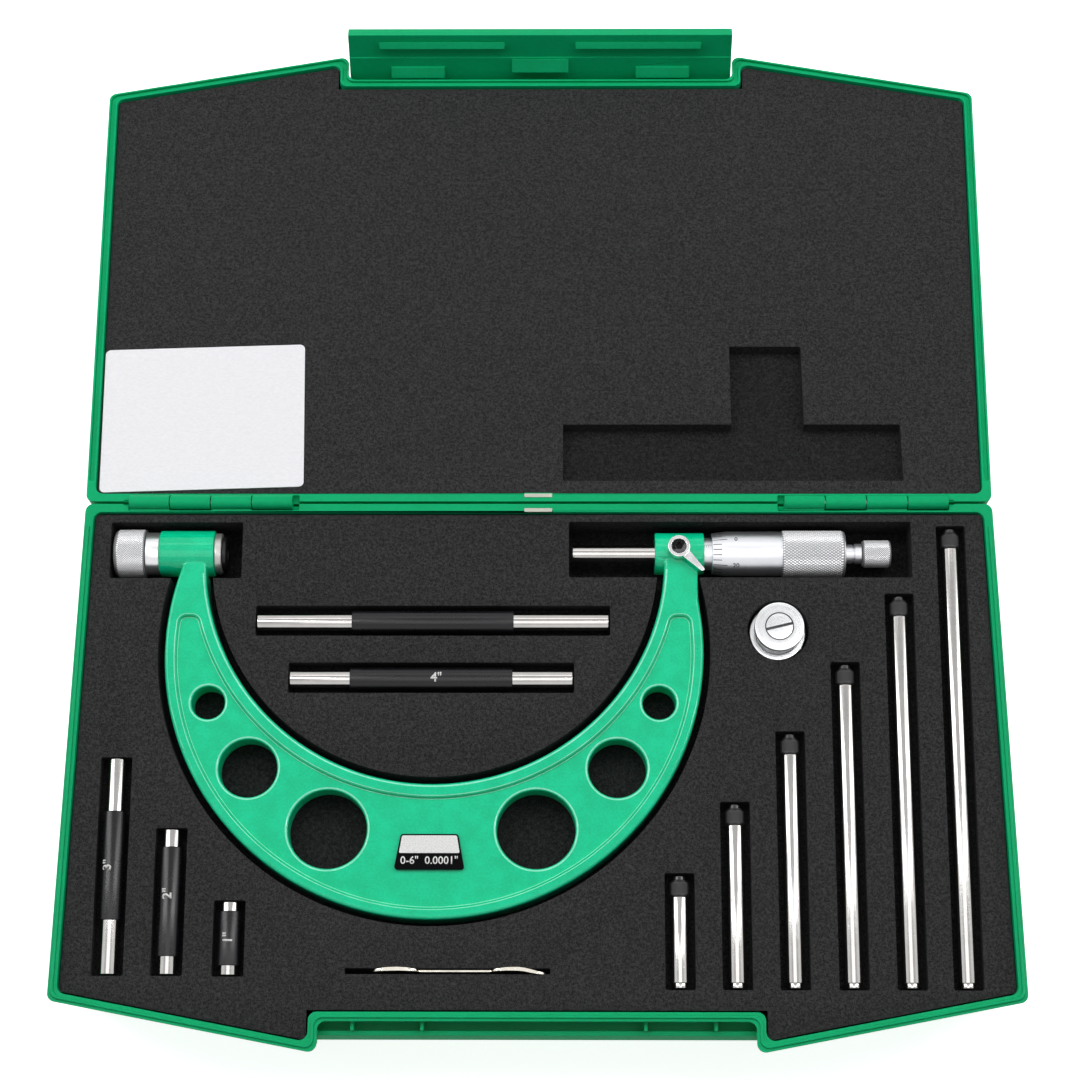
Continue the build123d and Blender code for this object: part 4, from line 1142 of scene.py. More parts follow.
@dataclass(frozen=True)
class CutFoam(Finish):
    """Charcoal foam sheet: matt, finely pitted and lightly speckled."""

    dark: Colour
    light: Colour
    cell: float = 2300.0
    depth: float = 0.0002

    def paint(self, surface: Surface, board: NodeBoard) -> None:
        """Pits painted darker as shade, in a speckled sheet."""
        where = board.place()
        pores = board.group(surface.effects.pores, Vector=where, Scale=self.cell).outputs
        cloud = board.group(surface.effects.mottle, Vector=where, Scale=700.0, Dark=self.dark,
                            Light=self.light)
        # the pits take a far darker colour: painted shade in the foam's cells
        colour = board.mix(pores["Mask"], shade(self.dark, 0.4), cloud.outputs["Color"])
        surface.set(Base_Color=colour, Specular_IOR_Level=0.12,
                    Roughness=board.ramp(pores["Mask"], 0.0, 1.0, 0.98, 0.86))
        surface.bump(pores["Height"], 0.8, self.depth)


@dataclass(frozen=True)
class Card(Finish):
    """Coated white card with a trace of fibre."""

    colour: Colour

    def paint(self, surface: Surface, board: NodeBoard) -> None:
        """Fibres that run along X."""
        fibre = board.noise(board.place(stretch=(1, 2.4, 1)), 700.0, 5.0, 0.6)
        surface.set(Base_Color=board.mix(board.ramp(fibre, 0.3, 0.7), shade(self.colour, 0.93),
                                         self.colour),
                    Roughness=board.ramp(fibre, 0.3, 0.7, 0.5, 0.62))
        surface.bump(fibre, 0.3, 0.00003)


@dataclass(frozen=True)
class Engraved(Finish):
    """Satin chrome on the measuring axis, with black-filled lines."""

    colour: Colour
    centre: tuple[float, float, float]
    turn: float

    def marks(self, board: NodeBoard, along: Socket, angle: Socket) -> Socket:
        """Draws the lines of the kind.

        Args:
            board: the node tree.
            along: the distance along the axis, in metres.
            angle: the angle round it.

        Returns:
            1 in a line and 0 outside it.
        """
        raise NotImplementedError

    def paint(self, surface: Surface, board: NodeBoard) -> None:
        """Chrome with the lines of the kind."""
        where = board.place(mm(*self.centre))
        parts, _ = board.off_axis(where)
        angle = board.math("ARCTAN2", parts[1], parts[2])
        surface.engrave(self.marks(board, parts[0], angle), where, self.colour)


@dataclass(frozen=True)
class Graduated(Engraved):
    """Lines along the axis, spaced by angle over a band."""

    start: float
    short: float
    tall: float
    count: int = 25
    every: int = 5
    reach: float = 8.0
    half: float = 0.13
    fade: float = 0.06

    def marks(self, board: NodeBoard, along: Socket, angle: Socket) -> Socket:
        """A short line at every step and a tall one at every fifth."""
        angle = board.plus(angle, 4 * math.pi - self.turn)
        step = 2 * math.pi / self.count
        half = self.half / self.reach
        drawn = []
        for times, length in ((1, self.short), (self.every, self.tall)):
            line = board.ramp(board.math("PINGPONG", angle, step * times / 2), half, half * 1.3,
                              1.0, 0.0)
            end = self.start + length
            drawn.append(board.times(line, board.ramp(along, mm(end), mm(end + self.fade),
                                                      1.0, 0.0)))
        after = board.ramp(along, mm(self.start), mm(self.start + self.fade))
        return board.times(board.math("MAXIMUM", *drawn), after)


@dataclass(frozen=True)
class Ruled(Engraved):
    """One line along the axis and ticks across it, as on a barrel."""

    pitch: float = 0.635
    half_line: float = 0.012
    tick: float = 0.17

    def marks(self, board: NodeBoard, along: Socket, angle: Socket) -> Socket:
        """The line, and the ticks on one side of it."""
        angle = board.math("SUBTRACT", angle, self.turn)
        line = board.ramp(board.math("ABSOLUTE", angle), self.half_line, self.half_line * 1.5,
                          1.0, 0.0)
        steps = board.math("PINGPONG", board.plus(along, 1.0), mm(self.pitch / 2))
        tick = board.ramp(steps, mm(0.05), mm(0.08), 1.0, 0.0)
        below = board.times(board.ramp(angle, -0.01, 0.0, 1.0, 0.0),
                            board.ramp(angle, -self.tick, 0.01 - self.tick))
        return board.math("MAXIMUM", line, board.times(tick, below))


@dataclass(frozen=True)
class Ink(Finish):
    """Printed or filled lettering."""

    colour: Colour
    shine: float = 0.12

    def paint(self, surface: Surface, board: NodeBoard) -> None:
        """A matt colour, worn a little."""
        worn = board.noise(board.place(), 2500.0, 3.0)
        surface.set(Base_Color=board.mix(board.ramp(worn, 0.3, 0.6), shade(self.colour, 0.8),
                                         self.colour),
                    Roughness=board.ramp(worn, 0.3, 0.7, 0.45, 0.6),
                    Specular_IOR_Level=self.shine)


# ------------------------------------------------------------------ knurling
@dataclass(frozen=True)
class Knurl:
    """A band of diamond knurling on a turned piece."""

    start: float
    end: float
    radius: float
    around: float
    along: float
    height: float

    def columns(self) -> int:
        """How many points go round: a whole number of fours, so that peaks alternate evenly."""
        return 4 * max(6, round(math.pi * self.radius / self.around))

    def rows(self) -> int:
        """How many steps there are along the band."""
        return 2 * max(2, round((self.end - self.start) / self.along))

    def rings(self) -> list[tuple[float, float]]:
        """The band's own stretch of the lathe profile.

        Returns:
            The rings, in order.
        """
        rows = self.rows()
        length = self.end - self.start
        root = self.radius - self.height
        return [(self.start + length * k / rows, root) for k in range(rows + 1)]

    def raise_points(self, piece: Piece, centre: Vector, along: Along) -> None:
        """Lifts every second point of the band, so that small pyramids stand on it.

        Args:
            piece: the turned mesh, in place.
            centre: where distance 0 of its profile lies.
            along: which way its axis points.
        """
        back = (Matrix.Translation(centre) @ along.matrix()).inverted()
        rows, columns = self.rows(), self.columns()
        step = (self.end - self.start) / rows

        def parity(co: Vector) -> int | None:
            """Whether a point of the band is a peak (1) or a root (0)."""
            local = back @ co / MM
            row = (local.z - self.start) / step
            if not (0.01 < row < rows - 0.01) or abs(row - round(row)) > 0.05:
                return None
            if local.xy.length < self.radius - self.height - 0.05:
                return None
            turn = math.atan2(local.y, local.x) / math.tau * columns
            return (round(row) + round(turn)) % 2

        Bench.pick_points(piece, lambda co: parity(co) == 0)
        bpy.ops.mesh.vert_connect()
        Bench.close()
        wider = self.radius / (self.radius - self.height)
        factors = tuple(1.0 if abs(part) > 0.5 else wider for part in along.value)
        Bench.stretch(piece, lambda co: parity(co) == 1, factors, centre)


# ------------------------------------------------------------------ the case
@dataclass
class HingedBox:
    """The two green shells, the latch flap, the hinge pins and the stop pads."""

    green_dark: Colour = (0.0005, 0.385, 0.142, 1.0)
    green_light: Colour = (0.001, 0.43, 0.165, 1.0)
    cream_dark: Colour = (0.55, 0.56, 0.48, 1.0)
    cream_light: Colour = (0.66, 0.66, 0.57, 1.0)
    pin_steel: Colour = (0.6, 0.59, 0.57, 1.0)
    edge: float = 0.32
    pad_edge: float = 0.2
    merge: float = 0.1
    # the place on the flap from which heights and depths are measured, and the sine and cosine
    # of its lean
    flap_origin: tuple[float, float, float] = (0.0, 285.103, 8.661)
    flap_lean: tuple[float, float] = (0.465, 0.885)
    # (height and depth of an edge of the hooks, the block or the tabs; its move out and up)
    catches: tuple[tuple[float, float, float, float], ...] = (
        (19.43, 1.29, -1.0, 1.0), (11.83, 2.2, -1.5, 0.6), (4.13, 0.8, 1.3, 0.0))
    catch_reach: float = 0.15

    def build(self) -> None:
        """Finishes the shells and dresses the small pieces."""
        green = MouldedPlastic("Green_plastic", self.green_dark, self.green_light,
                               roughness=0.38, shine=0.12).build()
        plain = Deburr(self.edge, merge=self.merge)
        sloped = Deburr(self.edge, merge=self.merge, before=self.slope_catches)
        for node, job in (("base_shell", plain), ("lid_shell", plain), ("latch_flap", sloped)):
            job.build(node, green, "case_green")
        cream = MouldedPlastic("Stop_pad_cream", self.cream_dark, self.cream_light,
                               roughness=0.5, grain=3200.0).build()
        for half in ("base", "lid"):
            Deburr(self.pad_edge).build(f"{half}_stop_pad", cream, "pad_cream")
        for side in ("left", "right"):
            node = f"{side}_hinge_pin"
            steel = TurnedMetal(f"{node}_steel", self.pin_steel, Along.RIGHT,
                                (0, HINGE_Y, HINGE_Z))
            Bench.dress(Bench.solid(node), steel.build())

    def slope_catches(self, flap: Piece) -> None:
        """Slopes the faces of the flap's hooks, block and tabs, so that they slide past the ledge.

        Args:
            flap: the copy of the flap, at rest.
        """
        origin = mm(*self.flap_origin)
        sine, cosine = self.flap_lean
        out, up = Vector((0, -cosine, sine)), Vector((0, sine, cosine))
        near = mm(self.catch_reach)
        for high, deep, outward, rise in self.catches:
            Bench.push(flap, lambda co: abs((co - origin).dot(up) - mm(high)) < near
                       and abs((co - origin).dot(out) - mm(deep)) < near,
                       out * mm(outward) + up * mm(rise))


@dataclass
class FoamInserts:
    """The die-cut foam of the base, the relieved foam of the lid, and the card."""

    # the rim's outline from the hinge line to the latch recess, as (x, reach)
    outline: tuple[tuple[float, float], ...] = ((165.6, 0.4), (170.35, 180.4), (76.0, 198.5))
    recess: tuple[float, float] = (76.0, 187.4)
    recess_depth: float = 30.0
    inset: float = 3.8
    draft: float = math.radians(5.0)
    # the sheet that a foam is cut from: half its width, and from where to where it reaches
    sheet: tuple[float, float, float] = (175.0, 0.5, 205.0)
    base_floor: float = 44.2
    lid_floor: float = 11.0
    overcut: float = 5.0
    corner: float = 0.7
    seat: float = 8.2
    frame_floor: float = 15.35
    frame_gap: float = 2.4
    frame_sides: int = 256
    frame_core: tuple[float, float] = (-60.0, 10.0)
    # both ends of the micrometer, as (x from, x to, reach from, reach to)
    end_pockets: tuple[tuple[float, float, float, float], ...] = (
        (-155.9, -107.8, 7.2, 28.3), (11.2, 135.8, 7.0, 28.0))
    end_floor: float = 17.45
    anvil_xs: tuple[float, ...] = (50.0, 69.9, 90.0, 110.4, 130.6, 150.1)
    anvil_foot: float = 175.6
    anvil_first: float = 39.2
    anvil_half: float = 5.3
    anvil_gap: float = 0.8
    # (middle x, middle reach, inches, lies across)
    standards: tuple[tuple[float, float, int, bool], ...] = (
        (-38.0, 44.2, 5, True), (-38.3, 65.3, 4, True), (-150.0, 133.1, 3, False),
        (-129.3, 145.8, 2, False), (-107.9, 158.7, 1, False))
    standard_half: float = 5.6
    standard_gap: float = 0.6
    spanner_slit: tuple[float, float, float, float] = (-67.0, 4.6, 168.95, 171.05)
    spanner_floor: float = 12.75
    spanner_corner: float = 0.4
    # the knob's pocket as x, reach and radius
    knob: tuple[float, float, float] = (86.7, 47.65, 11.05)
    reliefs: tuple[tuple[float, float, float, float], ...] = (
        (9.0, 134.0, 9.6, 33.0), (71.5, 98.4, 32.0, 66.2))
    relief_floor: float = 7.0
    edge: float = 0.3
    # the angles from which an edge is rounded off, and from which it is shaded sharp
    rounded_from: float = 40.0
    sharp_from: float = 35.0
    card_edge: float = 0.06
    charcoal: tuple[Colour, Colour] = (
        (0.030, 0.030, 0.0305, 1.0), (0.054, 0.054, 0.055, 1.0))
    # darker foam colours for every face below the top face: painted shade down the pocket walls
    # and floors
    charcoal_painted_shade: tuple[Colour, Colour] = (
        (0.014, 0.014, 0.0145, 1.0), (0.032, 0.032, 0.033, 1.0))
    card_white: Colour = (0.90, 0.895, 0.925, 1.0)

    def slab(self, name: str, shell: Half, floor: float) -> Piece:
        """A foam block with the drafted outline of its shell, drawn flat.

        Args:
            name: the piece's name.
            shell: which half it lies in.
            floor: the depth of its underside.

        Returns:
            The block, before any pocket is cut out of it.
        """
        side = shell.value
        half, near, far = self.sheet
        reach = sorted((side * near, side * far))
        piece = Bench.block(name, mm(-half, reach[0], -floor), mm(half, reach[1], -FOAM_DEPTH))
        rear = (0.0, self.outline[0][1])
        rims = [(rear, (1.0, rear[1])), *zip(self.outline, self.outline[1:])]
        for (x0, y0), (x1, y1) in rims:
            flat = Vector((y1 - y0, -(x1 - x0), 0)).normalized()
            for mirror in ((1, -1) if flat.x else (1,)):
                out = Vector((flat.x * mirror, flat.y * side, 0))
                point = Vector((x0 * mirror, y0 * side, 0)) - out * self.inset
                tilted = Vector((out.x * math.cos(self.draft), out.y * math.cos(self.draft),
                                 -math.sin(self.draft)))
                Bench.slice_off(piece, point * MM, tilted)
        self.notch(piece, side, floor)
        return piece

    def notch(self, piece: Piece, side: int, floor: float) -> None:
        """Cuts the clearance for the latch recess out of the front of a block.

        Args:
            piece: the foam block.
            side: the side of the hinge that it lies on.
            floor: the depth of its underside.
        """
        half, reach = self.recess[0] + self.inset, self.recess[1] - self.inset
        ends = sorted((side * reach, side * (reach + self.recess_depth)))
        bottom = floor + self.overcut
        tool = Bench.block("notch_tool", mm(-half, ends[0], -bottom), mm(half, ends[1], 0))
        deep = bottom * math.tan(self.draft)

        def foot(co: Vector) -> bool:
            """Whether a point lies at the tool's foot."""
            return co.z < -mm(floor)

        Bench.stretch(tool, foot, ((half + deep) / half, 1, 1), (0, 0, 0))
        Bench.push(tool, foot, (0, -side * mm(deep), 0))
        Bench.carve(piece, tool)

    def cut_slot(self, piece: Piece, shell: Half, rect: Sequence[float],
                 floor: float, corner: float = corner) -> None:
        """Cuts one straight-sided pocket.

        Args:
            piece: the foam block.
            shell: which half it lies in.
            rect: x from, x to, reach from and reach to.
            floor: the pocket's depth below the rim.
            corner: the radius of its upright corners.
        """
        x0, x1, *reach = rect
        ends = sorted(shell.value * part for part in reach)
        tool = Bench.block("slot_tool", mm(x0, ends[0], -floor),
                           mm(x1, ends[1], self.overcut))
        Bench.round_uprights(tool, corner)
        Bench.carve(piece, tool)

    def frame_tool(self) -> Piece:
        """The crescent that clears the micrometer's frame.

        Returns:
            The block to cut with.
        """
        outer = OUTER_ARC.radius + self.frame_gap
        inner = INNER_ARC.radius - self.frame_gap
        tool = Bench.drum("crescent_tool", (OUTER_ARC.x, -OUTER_ARC.reach), outer,
                          (-self.frame_floor, self.overcut), self.frame_sides)
        Bench.slice_off(tool, mm(0, -AXIS_REACH, 0), Vector((0, 1, 0)))
        Bench.carve(tool, Bench.drum("crescent_core", (INNER_ARC.x, -INNER_ARC.reach), inner,
                                     self.frame_core, self.frame_sides))
        return tool

    def pockets(self) -> Iterable[tuple[Sequence[float], float, float]]:
        """Every straight-sided pocket of the base, as its rectangle, floor and corner."""
        for rect in self.end_pockets:
            yield rect, self.end_floor, self.corner
        for step, x in enumerate(self.anvil_xs):
            length = self.anvil_first + INCH * step
            yield (x - self.anvil_half, x + self.anvil_half,
                   self.anvil_foot - length - self.anvil_gap,
                   self.anvil_foot + self.anvil_gap), self.seat, self.corner
        for x, reach, inches, across in self.standards:
            half = inches * INCH / 2 + self.standard_gap
            dx, dy = (half, self.standard_half) if across else (self.standard_half, half)
            yield (x - dx, x + dx, reach - dy, reach + dy), self.seat, self.corner
        yield self.spanner_slit, self.spanner_floor, self.spanner_corner

    def base(self) -> Piece:
        """The foam of the base with every pocket.

        Returns:
            The foam, drawn flat.
        """
        foam = self.slab("base_foam", Half.BASE, self.base_floor)
        Bench.carve(foam, self.frame_tool())
        for rect, floor, corner in self.pockets():
            self.cut_slot(foam, Half.BASE, rect, floor, corner)
        x, reach, radius = self.knob
        Bench.carve(foam, Bench.drum("knob_tool", (x, -reach), radius,
                                     (-self.seat, self.overcut), 96))
        return foam

    def lid(self) -> Piece:
        """The foam of the lid with its T-shaped relief.

        Returns:
            The foam, drawn flat.
        """
        foam = self.slab("lid_foam_sheet", Half.LID, self.lid_floor)
        for rect in self.reliefs:
            self.cut_slot(foam, Half.LID, rect, self.relief_floor)
        return foam

    def build(self) -> None:
        """Makes both foams and the card and puts them in place."""
        material = CutFoam("Charcoal_foam", *self.charcoal).build()
        cut = CutFoam("Charcoal_foam_cut", *self.charcoal_painted_shade).build()
        jobs = ((self.base(), Half.BASE, "case_base", ("base_foam_upper", "base_foam_lower")),
                (self.lid(), Half.LID, "lid", ("lid_foam",)))
        for piece, shell, body, nodes in jobs:
            Bench.finish(piece, "BEVEL", width=mm(self.edge), segments=2, limit_method="ANGLE",
                         angle_limit=math.radians(self.rounded_from), miter_outer="MITER_ARC")
            Bench.outward(piece)
            Bench.smooth(piece, self.sharp_from)
            Bench.dress(piece, material, "foam")
            # every face below the top face gets the darker foam: painted shade in the pockets
            Bench.second(piece, cut, lambda co, no: co.z < -mm(FOAM_DEPTH + self.edge))
            Bench.settle(piece, shell.place())
            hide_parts(*nodes)
            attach(piece, body)
        white = Card("White_card", self.card_white).build()
        Deburr(self.card_edge).build("card", white, "card_white")


# ------------------------------------------------------------------ numbers
@dataclass(frozen=True)
class Lettering:
    """Plain numbers that are printed on a piece."""

    text: str
    height: float
    thickness: float = 0.03
    weight: float = 0.05
    # how wide the strips are that bend round a piece
    strip: float = 0.35

    # the height of a capital in a font of size 1, and how far above a piece the numbers start
    capital: ClassVar[float] = 0.7
    hover: ClassVar[float] = 2.0

    def outline(self, name: str) -> Piece:
        """The numbers as a flat mesh that lies face up round the origin.

        Args:
            name: the name of the mesh.

        Returns:
            The mesh.
        """
        Bench.clear()
        bpy.ops.object.text_add(location=(0, 0, 0))
        words = bpy.context.object.data
        words.body = self.text
        words.size = mm(self.height) / self.capital
        words.align_x = "CENTER"
        words.align_y = "CENTER"
        words.resolution_u = 3
        words.offset = mm(self.weight)
        bpy.ops.object.convert(target="MESH")
        return Bench.name(bpy.context.object, name)

    def printed(self, name: str, target: Piece, place: Matrix, material: Paint, slot: str) -> None:
        """Prints the numbers on a piece, which they then ride with.

        Args:
            name: the name of the numbers.
            target: the piece that carries them.
            place: above its surface, with -Z towards it and X along the words.
            material: the ink.
            slot: the record's slot for the ink.
        """
        piece = self.outline(name)
        count = math.ceil(self.height / self.strip)
        for k in range(-count, count + 1):
            Bench.slice(piece, mm(0, k * self.strip, 0), Vector((0, 1, 0)))
        piece.matrix_world = place
        bpy.context.view_layer.update()
        Bench.finish(piece, "SHRINKWRAP", target=target, wrap_method="PROJECT",
                     use_project_z=True, use_negative_direction=True,
                     use_positive_direction=False, offset=mm(self.thickness))
        Bench.finish(piece, "SOLIDIFY", thickness=mm(self.thickness * 1.5), offset=-1)
        Bench.settle(piece)
        Bench.dress(piece, material, slot)
        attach(piece, target["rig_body"])


# ------------------------------------------------------------------ the micrometer
@dataclass
class Micrometer:
    """The frame micrometer that lies in the base."""

    lathe: Lathe = Lathe(Along.RIGHT)
    axis_y: float = HINGE_Y - AXIS_REACH
    axis_z: float = HINGE_Z - AXIS_DEPTH
    mint_dark: Colour = (0.001, 0.58, 0.275, 1.0)
    mint_light: Colour = (0.002, 0.70, 0.35, 1.0)
    # paler enamel that is a painted highlight along the frame's rounded edges
    edge_glint_paint_dark: Colour = (0.20, 0.84, 0.56, 1.0)
    edge_glint_paint_light: Colour = (0.30, 0.92, 0.66, 1.0)
    chrome: Colour = (0.76, 0.765, 0.80, 1.0)
    ring_chrome: Colour = (0.9, 0.9, 0.92, 1.0)
    lever_chrome: Colour = (0.80, 0.80, 0.81, 1.0)
    # painted shade in the grooves of the chrome knurling and painted highlight on its peaks
    grip_groove_painted_shade: Colour = (0.24, 0.24, 0.25, 1.0)
    grip_peak_painted_highlight: Colour = (0.96, 0.96, 0.98, 1.0)
    black: Colour = (0.018, 0.018, 0.019, 1.0)
    screw_black: Colour = (0.13, 0.13, 0.135, 1.0)
    # near black for the walls and floor of the screw's socket: painted shade
    socket_painted_shade: Colour = (0.01, 0.01, 0.01, 1.0)
    number_ink: Colour = (0.10, 0.10, 0.11, 1.0)
    plate_black: Colour = (0.003, 0.003, 0.0035, 1.0)
    plate_white: Colour = (0.90, 0.90, 0.89, 1.0)
    frame_edge: float = 0.45
    # how far in front of the axis the painted edge highlight starts, and how far inside the outer
    # arc it ends
    edge_glint_paint_from: float = 9.5
    edge_glint_paint_rim: float = 1.6
    # how level the faces are that it covers
    edge_glint_paint_level: tuple[float, float] = (0.9, 0.995)
    # where the frame's arms have left the bosses, along Y
    arms_to: float = 20.0
    # the sunk web: where it starts in front of the hinge, its margin and the slope of its wall
    web_from: float = 38.0
    web_rim: float = 2.5
    web_slope: float = 0.85
    barrel_start: float = 60.6
    grip_depth: float = 0.3
    # where the plate's numbers stand above its lower edge, and its white field begins
    plate_line: float = 3.0
    plate_band: float = 5.7
    plate_border: float = 0.55
    plate_head: float = 10.15
    plate_lift: float = 0.04

    def centre(self, x: float = 0.0) -> tuple[float, float, float]:
        """A point on the measuring axis."""
        return x, self.axis_y, self.axis_z

    def turned(self, name: str, colour: Colour, roughness: float, spread: float,
               metallic: float = 1.0) -> Paint:
        """The finish of a piece that is turned on the measuring axis.

        Args:
            name: the material's name.
            colour: its colour.
            roughness: its middle roughness.
            spread: how much the lathe marks change it.
            metallic: how much of it is metal.

        Returns:
            The material.
        """
        return TurnedMetal(name, colour, Along.RIGHT, self.centre(), roughness, spread,
                           metallic=metallic).build()

    def grip(self, name: str, radius: float, depth: float) -> Paint:
        """The finish of a knurled band on the measuring axis.

        Args:
            name: the material's name.
            radius: the radius of its peaks.
            depth: how deep its grooves are.

        Returns:
            The material.
        """
        return KnurledMetal(name, self.grip_groove_painted_shade, self.grip_peak_painted_highlight, Along.RIGHT, self.centre(),
                            (radius - depth, radius - depth * 0.5), metallic=0.3).build()

    def build(self) -> None:
        """Finishes the frame and turns every round piece."""
        self.body()
        satin = self.turned("Satin_chrome", self.chrome, 0.38, 0.1, 0.85)
        bright = self.turned("Ground_steel", STEEL, 0.16, 0.08)
        self.clamp()
        self.spindle(bright, satin)
        self.barrel()
        self.thimble()
        self.ratchet()
        self.lock()
        for node in ("spindle_guide", "spindle_nut", "ratchet_spring"):
            Bench.dress(Bench.solid(node), bright)
        self.plate()

    def body(self) -> None:
        """The enamelled frame, with a painted highlight in paler enamel on its gently sloped edge
        faces.
        """
        enamel = Enamel("Frame_enamel", self.mint_dark, self.mint_light).build()
        body = Deburr(self.frame_edge, 3, merge=0.1, before=self.slope_web).build(
            "mic_frame", enamel, "frame_green")
        # paler enamel on gently sloped faces in front of the axis and inside the outer rim: a
        # painted highlight on the rounded edges
        edge_glint_paint = Enamel("Frame_enamel_edge", self.edge_glint_paint_dark, self.edge_glint_paint_light).build()
        outer = OUTER_ARC.centre()
        least, most = self.edge_glint_paint_level
        Bench.second(body, edge_glint_paint, lambda co, no: least < abs(no.z) < most
                     and co.y < mm(self.axis_y - self.edge_glint_paint_from)
                     and (co - outer).xy.length < mm(OUTER_ARC.radius - self.edge_glint_paint_rim))

    def slope_web(self, body: Piece) -> None:
        """Slopes the wall round the sunk web of the frame.

        Args:
            body: the copy of the frame.
        """
        top = max(vertex.co.z for vertex in body.data.vertices if vertex.co.y < mm(self.arms_to))
        outer, inner = OUTER_ARC.centre().xy, INNER_ARC.centre().xy

        def on_rim(end: Vector) -> bool:
            """Whether a point lies on the upper edge of the web's wall."""
            return (abs(end.z - top) < 1e-5 and end.y < mm(HINGE_Y - self.web_from)
                    and (end.xy - outer).length < mm(OUTER_ARC.radius - self.web_rim)
                    and (end.xy - inner).length > mm(INNER_ARC.radius + self.web_rim))

        Bench.pick(body, "EDGE", lambda edge: all(
            on_rim(body.data.vertices[k].co) for k in edge.vertices))
        bpy.ops.mesh.bevel(offset=mm(self.web_slope), segments=3)
        Bench.close()

    def clamp(self) -> None:
        """The anvil bush, its nose, the clamp ring and the clamp knob."""
        lathe = self.lathe
        bore, bush, flange, ring_bore = 3.2, 5.5, 2.6, 5.52
        flange_radius, nose, ring, knob = 7.5, 6.3, 7.8, 8.9
        end = lathe.length("anvil_bush")
        rim = lathe.rounded(end - flange, end, flange_radius, 0.5)
        lathe.turn("anvil_bush", [(0, bore), (0, bush), (end - flange, bush), *rim, (end, bore)],
                   self.turned("Bush_steel", STEEL, 0.34, 0.1, 0.7), "steel", True)
        end = lathe.length("bush_nose")
        dark = PlainMetal("Blackened_steel", self.black, 0.42, 1800.0, 0.6).build()
        lathe.turn("bush_nose", [(0, bore), *lathe.rounded(0, end, nose, 0.5), (end, bore)],
                   dark, "black_steel", True)
        end = lathe.length("clamp_ring")
        lathe.turn("clamp_ring", [(0, ring_bore), *lathe.rounded(0, end, ring, 0.45),
                                  (end, ring_bore)],
                   self.turned("Ring_chrome", self.ring_chrome, 0.3, 0.06, 0.9),
                   "satin_chrome", True, 96)
        end = lathe.length("clamp_knob")
        lathe.knurl("clamp_knob", [(0, 1.0), (0, 6.6), (0.15, 7.4), (0.6, 8.2), (1.1, 8.6)],
                    Knurl(1.4, end - 0.25, knob, 0.85, 0.85, 0.2),
                    [(end - 0.1, 8.7), (end, 8.6), (end, 5.6), (5.0, 5.6), (5.0, 1.0)],
                    self.grip("Clamp_grip", knob, 0.2), "satin_chrome")

    def spindle(self, bright: Paint, satin: Paint) -> None:
        """The spindle, and the stem that the ratchet knob turns on.

        Args:
            bright: ground steel.
            satin: satin chrome.
        """
        lathe = self.lathe
        end = lathe.length("spindle")
        first, last, thread = 51.0, end - 3.35, 3.5
        lathe.turn("spindle", [*lathe.rounded(0, first, ROD_RADIUS, 0.25)[:5],
                               (first, ROD_RADIUS), (first, thread), (last, thread),
                               (last, ROD_RADIUS), (end, ROD_RADIUS)], bright, "steel")
        end = lathe.length("ratchet_stem")
        lathe.turn("ratchet_stem", [(0, 3.4), (2.9, 3.4), (3.0, 3.0), (3.5, 3.0), (3.6, 3.6),
                                    (3.8, 3.7), (6.0, 3.7), (6.2, 3.5), (6.2, 1.6), (end, 1.6)],
                   satin, "steel")

    def barrel(self) -> None:
        """The ruled barrel between the boss and the thimble."""
        lathe = self.lathe
        bore, radius = 4.4, 5.95
        ruled = Ruled("Barrel_lines", self.chrome, self.centre(self.barrel_start),
                      math.radians(18)).build()
        end = lathe.length("barrel")
        lathe.turn("barrel", [(0, bore), (0, radius), (end, radius), (end, bore)], ruled,
                   "satin_chrome", True, 96)

    def thimble(self) -> None:
        """The thimble with its bevel, graduations, numbers and knurled grip."""
        lathe = self.lathe
        end = lathe.length("thimble")
        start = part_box("thimble")[0].x / MM
        hub, bore, hole = end - 3.6, 6.1, 3.26
        radius, grip, peak = 8.2, 25.3, 8.6
        datum = math.radians(25.8)
        lines = Graduated("Thimble_lines", self.chrome, self.centre(start), datum, 0.25, 3.2,
                          5.2).build()
        piece = lathe.knurl(
            "thimble",
            [(hub, hole), (hub, bore), (0.5, bore), (0, 6.3), (0, 7.42), (0.1, 7.52),
             (5.0, 8.14), (5.3, radius), (grip - 0.7, radius), (grip - 0.4, 8.16),
             (grip - 0.36, 7.8), (grip - 0.04, 7.8), (grip, 8.25)],
            Knurl(grip + 0.2, end - 0.8, peak, 1.1, 1.5, self.grip_depth),
            [(end - 0.5, 8.28), (end - 0.15, 8.0), (end, 7.6), (end, hole)], lines,
            "satin_chrome", True)
        first, last = mm(start + grip + 0.1), mm(start + end - 0.6)
        centre = mm(*self.centre())
        Bench.second(piece, self.grip("Thimble_grip", peak, self.grip_depth),
                     lambda co, no: first < co.x < last and (co - centre).yz.length > mm(7.9))
        ink = Ink("Thimble_numbers", self.number_ink).build()
        for k in range(5):
            turn = Matrix.Rotation(-datum - math.tau * k / 5, 4, "X")
            place = (Matrix.Translation(mm(*self.centre(start + 8.6))) @ turn
                     @ Matrix.Translation(mm(0, 0, radius + Lettering.hover)))
            Lettering(str(5 * k), 1.7).printed(f"thimble_number_{5 * k}", piece, place, ink,
                                               "satin_chrome")

    def ratchet(self) -> None:
        """The knurled knob at the end of the thimble."""
        lathe = self.lathe
        end = lathe.length("ratchet_knob")
        lathe.knurl("ratchet_knob", [(3.0, 1.7), (3.0, 2.8), (0, 2.8), (0, 4.4), (0.35, 4.8)],
                    Knurl(0.5, end - 0.6, 5.0, 0.8, 0.8, 0.17),
                    [(end - 0.4, 4.8), (end - 0.1, 4.5), (end, 4.1), (end, 1.7)],
                    self.grip("Ratchet_grip", 5.0, 0.17), "satin_chrome")

